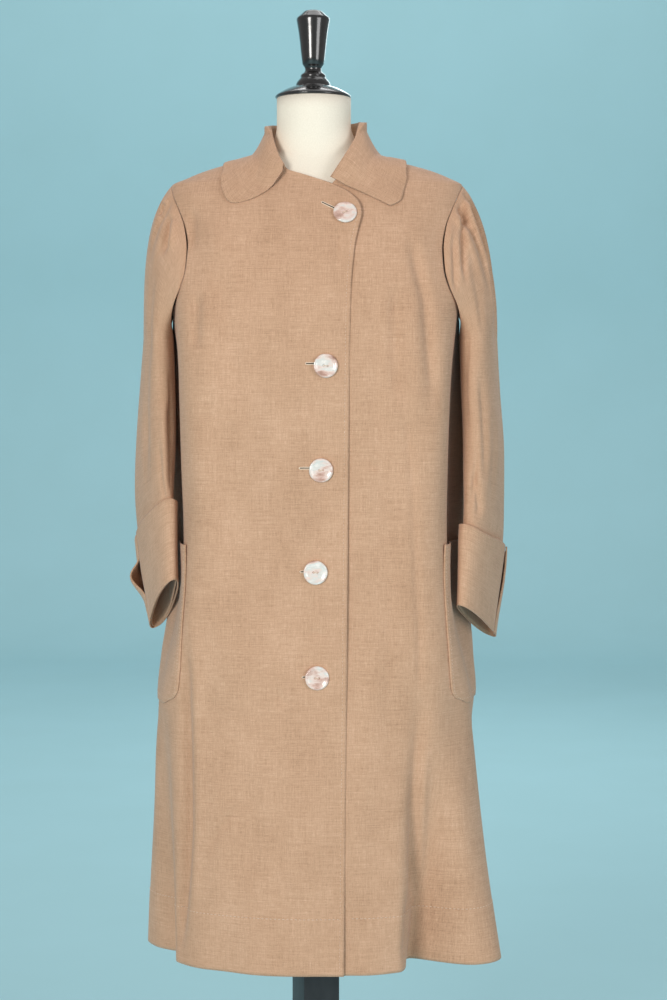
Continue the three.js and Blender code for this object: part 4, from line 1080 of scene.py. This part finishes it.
# Collar
# seam, roll line and outer edge as x, y, z, then how far the fall sags
COLLAR = [
    ((-40, -65, 1373.5), (-41, -72, 1377), (-44, -76, 1369), 0),
    ((-42, -64, 1375), (-44, -70, 1382), (-60, -80, 1346), 0),
    ((-45, -61, 1379), (-48, -64, 1389), (-84, -82, 1330), 1),
    ((-49, -55, 1385), (-52.5, -54, 1400), (-109, -76, 1324), 3),
    ((-52.5, -41, 1395), (-57.5, -38, 1416), (-118, -54, 1339), 6),
    ((-58.5, -19, 1403), (-60, -14, 1430), (-116, -24, 1368), 12),
    ((-64, 4, 1402.8), (-60, 12, 1438), (-111, 8, 1388), 14),
    ((-53, 36, 1402.8), (-53, 40, 1442), (-104, 62, 1372), 7),
    ((-29, 54, 1402.8), (-31, 58, 1444), (-62, 92, 1366), 6),
    ((0, 59.5, 1402.8), (0, 65, 1445), (0, 100, 1362), 5),
    ((29, 54, 1402.8), (31, 58, 1445), (62, 92, 1366), 6),
    ((53, 36, 1402.8), (53, 40, 1445), (104, 62, 1372), 7),
    ((64, 4, 1402.8), (59, 12, 1443), (111, 8, 1388), 14),
    ((58.5, -19, 1403), (58, -16, 1436), (114, -26, 1370), 12),
    ((52.5, -41, 1395), (54, -38, 1418), (117, -50, 1352), 4),
    ((48, -56, 1385), (47, -52, 1404), (114, -64, 1338), 2),
    ((39, -66, 1374), (35, -68, 1384), (109, -72, 1325), 0),
    ((22, -74, 1360), (20, -77, 1361), (97, -80, 1318.5), 0),
]


def smooth_curve(points, at):
    """Centripetal Catmull-Rom curve through points, at shares of its number of spans."""
    points = np.array(points, float)
    last = len(points) - 1
    padded = np.concatenate([[2 * points[0] - points[1]], points, [2 * points[-1] - points[-2]]])
    place = np.asarray(at, float) * last
    k = np.clip(np.floor(place).astype(int), 0, last - 1)
    w = (place - k)[:, None]
    p0, p1, p2, p3 = (padded[k + n] for n in range(4))
    d0, d1, d2 = (np.sum((b - a) ** 2, axis=1)[:, None] ** 0.25 for a, b in ((p0, p1), (p1, p2), (p2, p3)))
    t1 = ((p1 - p0) / d0 - (p2 - p0) / (d0 + d1) + (p2 - p1) / d1) * d1
    t2 = ((p2 - p1) / d1 - (p3 - p1) / (d1 + d2) + (p3 - p2) / d2) * d1
    return p1 + t1 * w + (-3 * p1 + 3 * p2 - 2 * t1 - t2) * w**2 + (2 * p1 - 2 * p2 + t1 + t2) * w**3


def collar_grid(count=200):
    t = np.linspace(0, 1, count)
    seam, roll, edge = (smooth_curve([row[k] for row in COLLAR], t) for k in range(3))
    sag = along({"t": np.linspace(0, 1, len(COLLAR)), "sag": np.array([row[3] for row in COLLAR], float)}, "sag", t, "t")
    outward_way = edge - roll
    outward_way[:, 2] = 0
    outward_way /= np.linalg.norm(outward_way, axis=1, keepdims=True)
    roundness = np.minimum(4, np.linalg.norm(roll - seam, axis=1) * 0.3)
    across = np.concatenate([np.linspace(0, 0.85, 16), np.linspace(0.88, 1.15, 16), np.linspace(1.18, 2, 34)])
    grid = np.zeros((count, len(across), 3))
    for j, a in enumerate(across):
        point = mix(seam, roll, a) if a <= 1 else mix(roll, edge, a - 1)
        point = point.copy()
        point[:, 2] += bump(a - 1, 0.4) * roundness * 0.4
        if a > 1:
            point += outward_way * (roundness * ease((a - 1) / 0.12) * (2 - a) ** 2)[:, None]
            point[:, 2] -= sag * math.sin(math.pi * (a - 1))
            ripple = 1.0 * np.sin(2 * np.pi * 5.3 * t + 0.6) + 0.7 * np.sin(2 * np.pi * 8.7 * t + 2.1)
            point = keep_outside(point, DOUBLE_CLOTH + 1.2 + 0.5 * ripple * (a - 1))
        else:
            point -= outward_way * (roundness * 0.4 * ease((1 - a) / 0.12) * ease(a / 0.5))[:, None]
        grid[:, j] = point
    return grid


collar_outer = collar_grid()
collar_normals = grid_normals(collar_outer)
fall = collar_outer[100, -4]
if np.dot(collar_normals[100, -4], fall - np.array([0, 0, fall[2]])) < 0:
    collar_normals = -collar_normals
collar = shell("collar_cloth", collar_outer, collar_outer - collar_normals * DOUBLE_CLOTH, LINEN, cloth_uv(collar_outer))
cloth_piece(collar, "collar")


# Buttons
def polar_mesh(name, profile, segments, material, holes=()):
    """A turned solid about Z, in mm, from a closed profile of radius and height; holes sink round pits."""
    vertices, faces = [], []
    rings = []
    for r, h in profile:
        if r == 0:
            rings.append([len(vertices)])
            vertices.append((0, 0, h))
            continue
        ring = []
        for k in range(segments):
            angle = 2 * math.pi * k / segments
            x, y = r * math.cos(angle), r * math.sin(angle)
            sink = 0
            for hole_x, hole_y, hole_r, depth in holes:
                if h > 1.2:
                    sink = max(sink, depth * float(ease((hole_r * 1.25 - math.hypot(x - hole_x, y - hole_y)) / (hole_r * 0.5))))
            ring.append(len(vertices))
            vertices.append((x, y, h - sink))
        rings.append(ring)
    for a, b in zip(rings, rings[1:]):
        for k in range(segments):
            n = (k + 1) % segments
            if len(a) == 1:
                faces.append((a[0], b[k], b[n]))
            elif len(b) == 1:
                faces.append((a[n], a[k], b[0]))
            else:
                faces.append((a[k], b[k], b[n], a[n]))
    mesh = bpy.data.meshes.new(name)
    mesh.from_pydata((np.array(vertices) * MM).tolist(), [], faces)
    work = bmesh.new()
    work.from_mesh(mesh)
    bmesh.ops.recalc_face_normals(work, faces=work.faces)
    work.to_mesh(mesh)
    work.free()
    return new_object(name, mesh, material)


BUTTONS = [(39, 1311), (14, 1112), (8, 978), (1, 847), (3, 712)]
button_profile = [(0, 0), (10, 0), (14, 0.1), (15.1, 0.7), (15.5, 1.7), (15.3, 2.8), (14.7, 3.6), (13.7, 4.0), (12.6, 3.9)]
button_profile += [(11.6, 3.45), (10.6, 3.1)]
button_profile += [(r, 3.0 - 0.35 * math.cos(r / 10.6 * math.pi / 2)) for r in np.arange(10, 0.3, -0.4)] + [(0, 2.65)]
BUTTON_HOLES = [(-2.7, 0, 1.25, 1.5), (2.7, 0, 1.25, 1.5)]


def place_on_front(obj, name, x, z, lift, spin=0.0):
    point, normal = on_panel(name, front_arc(x, z), z, lift)
    up = Vector((0, 0, 1))
    out = Vector(normal)
    side_way = up.cross(out).normalized()
    rise = out.cross(side_way).normalized()
    turned = Matrix((side_way, rise, out)).transposed().to_4x4()
    obj.matrix_world = Matrix.Translation(Vector(point) * MM) @ turned @ Matrix.Rotation(spin, 4, "Z")


def thread_and_shade_bar(name, points, radius, material, sides=8):
    """A bent bar through points in mm, drawn as thread and also as the painted shadow inside a buttonhole."""
    curve = bpy.data.curves.new(name, "CURVE")
    curve.dimensions = "3D"
    curve.bevel_depth = radius * MM
    curve.bevel_resolution = 2
    curve.use_fill_caps = True
    spline = curve.splines.new("POLY")
    spline.points.add(len(points) - 1)
    for target, point in zip(spline.points, points):
        target.co = (*(np.array(point) * MM), 1)
    obj = bpy.data.objects.new(name, curve)
    bpy.context.scene.collection.objects.link(obj)
    curve.materials.append(material)
    return obj


BUTTON_SPINS = [0.5, -0.12, 0.08, -0.1, 0.02]
for number, ((x, z), spin) in enumerate(zip(BUTTONS, BUTTON_SPINS), start=1):
    button = polar_mesh(f"button_{number}_shell", button_profile, 96, PEARL, BUTTON_HOLES)
    place_on_front(button, "right_front", x, z, 0.35, spin)
    cloth_piece(button, f"button_{number}")
    for strand, shift in enumerate((-0.25, 0.25)):
        bar = thread_and_shade_bar(
            f"button_{number}_thread_{strand}",
            [(-2.7, shift, 1.6), (-2.4, shift, 2.9), (-1.2, shift, 3.15), (1.2, shift, 3.15), (2.4, shift, 2.9), (2.7, shift, 1.6)],
            0.24,
            THREAD,
        )
        bar.parent = button
        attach(bar, "root")

# buttonholes, as x and z of the ends that the buttons leave in sight
BUTTONHOLES = [
    ((9, 1326), (27, 1317)), ((-11, 1115), (2, 1115)), ((-19, 981), (-5, 981)), ((-18, 848), (-10, 848)),
    ((-15.5, 713), (-8, 713)),
]
# The dark brown material is painted shadow: the shade inside each buttonhole opening, laid in as a bar between the
# stitched lips.
SLIT_SHADOW_PAINT = object_material("slit_shadow", [(0.3, (0.02, 0.012, 0.008)), (0.7, (0.035, 0.02, 0.013))], (900, 900, 900), 0.9, 0.0001)
for number, ((x0, z0), (x1, z1)) in enumerate(BUTTONHOLES, start=1):
    run = np.array([x1 - x0, z1 - z0], float)
    run /= np.linalg.norm(run)
    across = np.array([-run[1], run[0]]) * 1.15
    corners = [(x0, z0), (x1, z1)]
    upper = [np.array(corner) + across for corner in corners]
    lower = [np.array(corner) - across for corner in corners]
    loop = [upper[1], mix(upper[1], upper[0], 0.5), upper[0], np.array(corners[0]) - run * 1.2, lower[0]]
    loop += [mix(lower[0], lower[1], 0.5), lower[1]]
    lips = [on_panel("right_front", front_arc(x, z), z, 0.25)[0] for x, z in loop]
    middle = [on_panel("right_front", front_arc(x, z), z, 0.1)[0] for x, z in corners]
    # the second bar is painted shadow in the buttonhole opening
    for part, points, radius, material in (("lips", lips, 0.7, THREAD), ("slit_shadow_bar", middle, 0.8, SLIT_SHADOW_PAINT)):
        bar = thread_and_shade_bar(f"buttonhole_{number}_{part}", points, radius, material)
        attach(bar, "root")


def stitch_row(name, places, length=3.0, pitch=5.4, radius=0.5):
    """A row of short stitches; places gives points and outward normals along the line, in mm."""
    points, normals = (np.array(values) for values in zip(*places))
    arc = np.concatenate([[0], np.cumsum(np.linalg.norm(np.diff(points, axis=0), axis=1))])
    starts = np.arange(pitch / 2, arc[-1] - length, pitch)
    vertices, faces = [], []
    for start in starts:
        ends = [np.array([np.interp(at, arc, points[:, axis]) for axis in range(3)]) for at in (start, start + length)]
        out = np.array([np.interp(start, arc, normals[:, axis]) for axis in range(3)])
        out /= np.linalg.norm(out)
        run = (ends[1] - ends[0]) / np.linalg.norm(ends[1] - ends[0])
        side_way = np.cross(out, run) * radius
        first = len(vertices)
        vertices += [ends[0] - side_way, ends[0] + side_way, ends[1] - side_way, ends[1] + side_way]
        vertices += [ends[0] + run * 0.5 + out * radius * 1.3, ends[1] - run * 0.5 + out * radius * 1.3]
        for face in ((0, 2, 5, 4), (3, 1, 4, 5), (1, 0, 4), (2, 3, 5), (0, 1, 3, 2)):
            faces.append([first + k for k in face])
    mesh = bpy.data.meshes.new(name)
    mesh.from_pydata((np.array(vertices) * MM).tolist(), [], faces)
    row = new_object(name, mesh, THREAD)
    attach(row, "root")


HEM_STITCH_Z, EDGE_STITCH_IN = 403.0, 5.5


def panel_line(name, lines):
    return [on_panel(name, where_at, z_at, 0.05) for where_at, z_at in lines]


hem_row = int(np.argmin(np.abs(PANEL_ROWS - HEM_STITCH_Z)))
for panel_name, (outer, normals, where) in PANELS.items():
    first, last = where[hem_row, 0], where[hem_row, -1]
    if panel_name == "left_front":
        first = front_arc(right_edge_x(HEM_STITCH_Z) + 3, HEM_STITCH_Z)
    inset = 4 * np.sign(last - first)
    line = [(at, HEM_STITCH_Z) for at in np.linspace(first + inset, last - inset, 90)]
    stitch_row(f"{panel_name}_hem_stitches", panel_line(panel_name, line))
edge_line = [(front_arc(right_edge_x(z) - EDGE_STITCH_IN, z), z) for z in np.arange(HEM_Z + 4, 1308, 12.0)]
stitch_row("right_front_edge_stitches", panel_line("right_front", edge_line), 2.4, 4.6, 0.26)
for side, (outer, normals) in POCKETS.items():
    name = SLEEVES[side]["name"]
    bottom, top, column = 3, len(outer) - 1, 2
    line = [(outer[k, column], normals[k, column]) for k in range(top, bottom, -1)]
    line += [(outer[bottom, k], normals[bottom, k]) for k in range(column, outer.shape[1] - 2)]
    stitch_row(f"{name}_pocket_stitches", line, 2.4, 4.6, 0.26)

# Form, cap, post and base
FORM = columns(
    "z width front back",
    [
        (715, 140, 88, 96),
        (740, 152, 98, 107),
        (800, 158, 106, 114),
        (870, 153, 107, 112),
        (940, 132, 98, 96),
        (1000, 119, 92, 84),
        (1060, 127, 102, 86),
        (1120, 146, 124, 97),
        (1165, 156, 127, 104),
        (1220, 163, 114, 107),
        (1300, 166, 92, 98),
    ],
)
NECK_FOOT = (60.0, 47.0, 53.0)
FORM_SHOULDER_X = 170.0


def form_ring(z, count):
    angle = np.linspace(0, 2 * np.pi, count, endpoint=False)
    side = np.where(angle > np.pi, RIGHT, LEFT)
    half = np.where(angle > np.pi, 2 * np.pi - angle, angle)
    in_front = half < np.pi / 2
    if z > NECK_FOOT_Z:
        width, front, back = NECK_FOOT
        rise = ease((z - NECK_FOOT_Z) / 40)
        depth = np.where(in_front, front, back)
        x = NECK_X * rise + side * mix(width, NECK_RADIUS, rise) * np.sin(half)
        y = -mix(depth, NECK_RADIUS, rise) * np.cos(half)
        return np.stack([x, y, np.full_like(x, z)], axis=-1)
    shares = side * np.array([share_at_angle(math.degrees(h), z) for h in half])
    surface = body_surface(shares, z)
    step = 2.0
    above, below = body_surface(shares, min(NECK_SEAM_Z, z + step)), body_surface(shares, max(HEM_Z, z - step))
    around = body_surface(shares + 0.006, z) - body_surface(shares - 0.006, z)
    normal = np.cross(around, above - below)
    normal /= np.linalg.norm(normal, axis=1, keepdims=True)
    gap = 0.6 + 5 * ease(np.abs(surface[:, 1]) / 30)
    carried = surface - normal * (1.6 + gap)[:, None]
    carried[:, 0] = side * np.minimum(np.abs(carried[:, 0]), FORM_SHOULDER_X)
    own = np.stack(
        [
            side * along(FORM, "width", z) * np.sin(half),
            -np.where(in_front, along(FORM, "front", z), along(FORM, "back", z)) * np.cos(half),
            np.full_like(half, z),
        ],
        axis=-1,
    )
    return mix(own, carried, ease((z - 1240) / 80))


def closed_loft(name, rings, material):
    count = len(rings[0])
    vertices = np.concatenate([*rings, rings[0].mean(axis=0)[None], rings[-1].mean(axis=0)[None]]) * MM
    faces = []
    for i in range(len(rings) - 1):
        for j in range(count):
            k = (j + 1) % count
            faces.append((i * count + j, i * count + k, (i + 1) * count + k, (i + 1) * count + j))
    low, high = len(rings) * count, len(rings) * count + 1
    for j in range(count):
        k = (j + 1) % count
        faces.append((low, k, j))
        faces.append((high, (len(rings) - 1) * count + j, (len(rings) - 1) * count + k))
    mesh = bpy.data.meshes.new(name)
    mesh.from_pydata(vertices.tolist(), [], faces)
    mesh.update()
    return new_object(name, mesh, material)


form_heights = np.concatenate(
    [[715, 716, 718, 722, 728], np.arange(736, 1340, 12), np.arange(1340, 1398, 4), np.arange(1399, 1440, 3), [1455, 1474]]
)
form = closed_loft("form_torso_jersey", [form_ring(float(z), 120) for z in form_heights], JERSEY)
cloth_piece(form, "form_torso")

CAP_PROFILE = [
    (0, 0.3), (49, 0.3), (50.6, 0.9), (51.2, 2.2), (50.4, 3.8), (48, 5.8), (44, 8.2), (39, 11), (34, 13.4), (29, 15.2),
    (25.6, 15.9), (23.8, 16.6), (23.3, 18), (22.8, 20), (21.8, 22.4), (19.2, 25.6), (17.4, 27.4), (16.6, 28.6),
    (16.9, 30), (16.8, 31.4), (15.8, 32.8), (13.2, 34.6), (11.4, 36.6), (10.8, 38.6), (10.9, 40.4), (11.6, 42.6),
    (13, 44.4), (14.3, 46.4), (15.4, 54), (16.6, 64), (17.8, 76), (19.2, 88), (20.8, 98), (22, 104.5), (22.3, 107),
    (21.9, 108.8), (20.4, 110.4), (17.6, 112.6), (14.6, 115.4), (12.4, 117.4), (10.8, 118.4), (8, 118.9), (0, 119),
]
cap = polar_mesh("neck_cap_turned", CAP_PROFILE, 128, LACQUER)
cap.matrix_world = Matrix.Translation(Vector((CAP_X, 0, NECK_TOP_Z)) * MM)
cloth_piece(cap, "neck_cap")


def rounded_block(name, size, centre, turn, radius, material):
    mesh = bpy.data.meshes.new(name)
    work = bmesh.new()
    bmesh.ops.create_cube(work, size=1)
    bmesh.ops.scale(work, vec=Vector(size) * MM, verts=work.verts)
    bmesh.ops.bevel(work, geom=list(work.edges), offset=radius * MM, segments=4, profile=0.5, affect="EDGES")
    bmesh.ops.rotate(work, cent=(0, 0, 0), matrix=Matrix.Rotation(turn, 3, "Z"), verts=work.verts)
    bmesh.ops.translate(work, vec=Vector(centre) * MM, verts=work.verts)
    work.to_mesh(mesh)
    work.free()
    return new_object(name, mesh, material)


post_height = FORM_BOTTOM_Z - BASE_HEIGHT - 0.6
post = rounded_block(
    "post_square", (POST_SIDE, POST_SIDE, post_height), (0, 0, BASE_HEIGHT + 0.3 + post_height / 2), POST_TURN, 1.6, PAINT
)
cloth_piece(post, "post")
base = rounded_block(
    "stand_base_plate", (BASE_SIDE, BASE_SIDE, BASE_HEIGHT), (0, 0, BASE_HEIGHT / 2), POST_TURN, 5, PAINT
)
cloth_piece(base, "stand_base")

# Stage, light and camera
SWEEP_FRONT_Y, SWEEP_BEND_Y, SWEEP_RADIUS, SWEEP_TOP_Z, SWEEP_HALF_WIDTH = -7.0, 5.2, 1.6, 7.0, 8.0
bend = np.radians(np.linspace(0, 90, 25))
sweep_y = np.concatenate([[SWEEP_FRONT_Y], SWEEP_BEND_Y + SWEEP_RADIUS * np.sin(bend), [SWEEP_BEND_Y + SWEEP_RADIUS]])
sweep_z = np.concatenate([[0], SWEEP_RADIUS * (1 - np.cos(bend)), [SWEEP_TOP_Z]])
sweep_points = [(x, y, z) for y, z in zip(sweep_y, sweep_z) for x in (-SWEEP_HALF_WIDTH, SWEEP_HALF_WIDTH)]
sweep_mesh = bpy.data.meshes.new("floor_and_backdrop")
sweep_mesh.from_pydata(
    sweep_points, [], [(2 * k, 2 * k + 1, 2 * k + 3, 2 * k + 2) for k in range(len(sweep_y) - 1)]
)
sweep_material = object_material(
    "pale_blue_sweep", [(0.3, (0.405, 0.66, 0.715)), (0.7, (0.415, 0.675, 0.735))], (3, 3, 3), 0.9, 0.0001, specular=0.1
)
sweep = new_object("floor_and_backdrop", sweep_mesh, sweep_material)

world = bpy.data.worlds.new("studio")
world.use_nodes = True
world.node_tree.nodes["Background"].inputs["Color"].default_value = (0.84, 0.84, 0.84, 1)
world.node_tree.nodes["Background"].inputs["Strength"].default_value = 0.45
bpy.context.scene.world = world
bpy.context.scene.view_settings.view_transform = "Standard"


def softbox(name, place, aim, size, power, colour=(1, 1, 1)):
    light = bpy.data.lights.new(name, "AREA")
    light.shape = "SQUARE"
    light.size = size
    light.energy = power
    light.color = colour
    obj = bpy.data.objects.new(name, light)
    bpy.context.scene.collection.objects.link(obj)
    obj.location = place
    obj.rotation_euler = (Vector(aim) - Vector(place)).to_track_quat("-Z", "Y").to_euler()


softbox("key", (-2.0, -4.2, 1.5), (0, 0, 0.85), 1.3, 126, (1, 0.97, 0.93))
softbox("fill", (2.6, -2.8, 1.3), (0, 0, 0.85), 1.6, 46)
softbox("top", (0.2, 0.6, 3.4), (0, 0, 1.0), 1.6, 12)
softbox("backdrop_light", (0, 3.0, 5.4), (0, 6.8, 1.4), 3.0, 100)
softbox("back", (0.8, 3.6, 2.6), (0, 0, 1.0), 1.4, 18)

camera_data = bpy.data.cameras.new("camera")
camera_data.sensor_width = 36
camera_data.lens = 72
camera_data.shift_y = -0.11
camera = bpy.data.objects.new("camera", camera_data)
camera.location = (0.024, -2.7, 1.081)
camera.rotation_euler = (math.pi / 2, 0, 0)
bpy.context.scene.collection.objects.link(camera)
bpy.context.scene.camera = camera
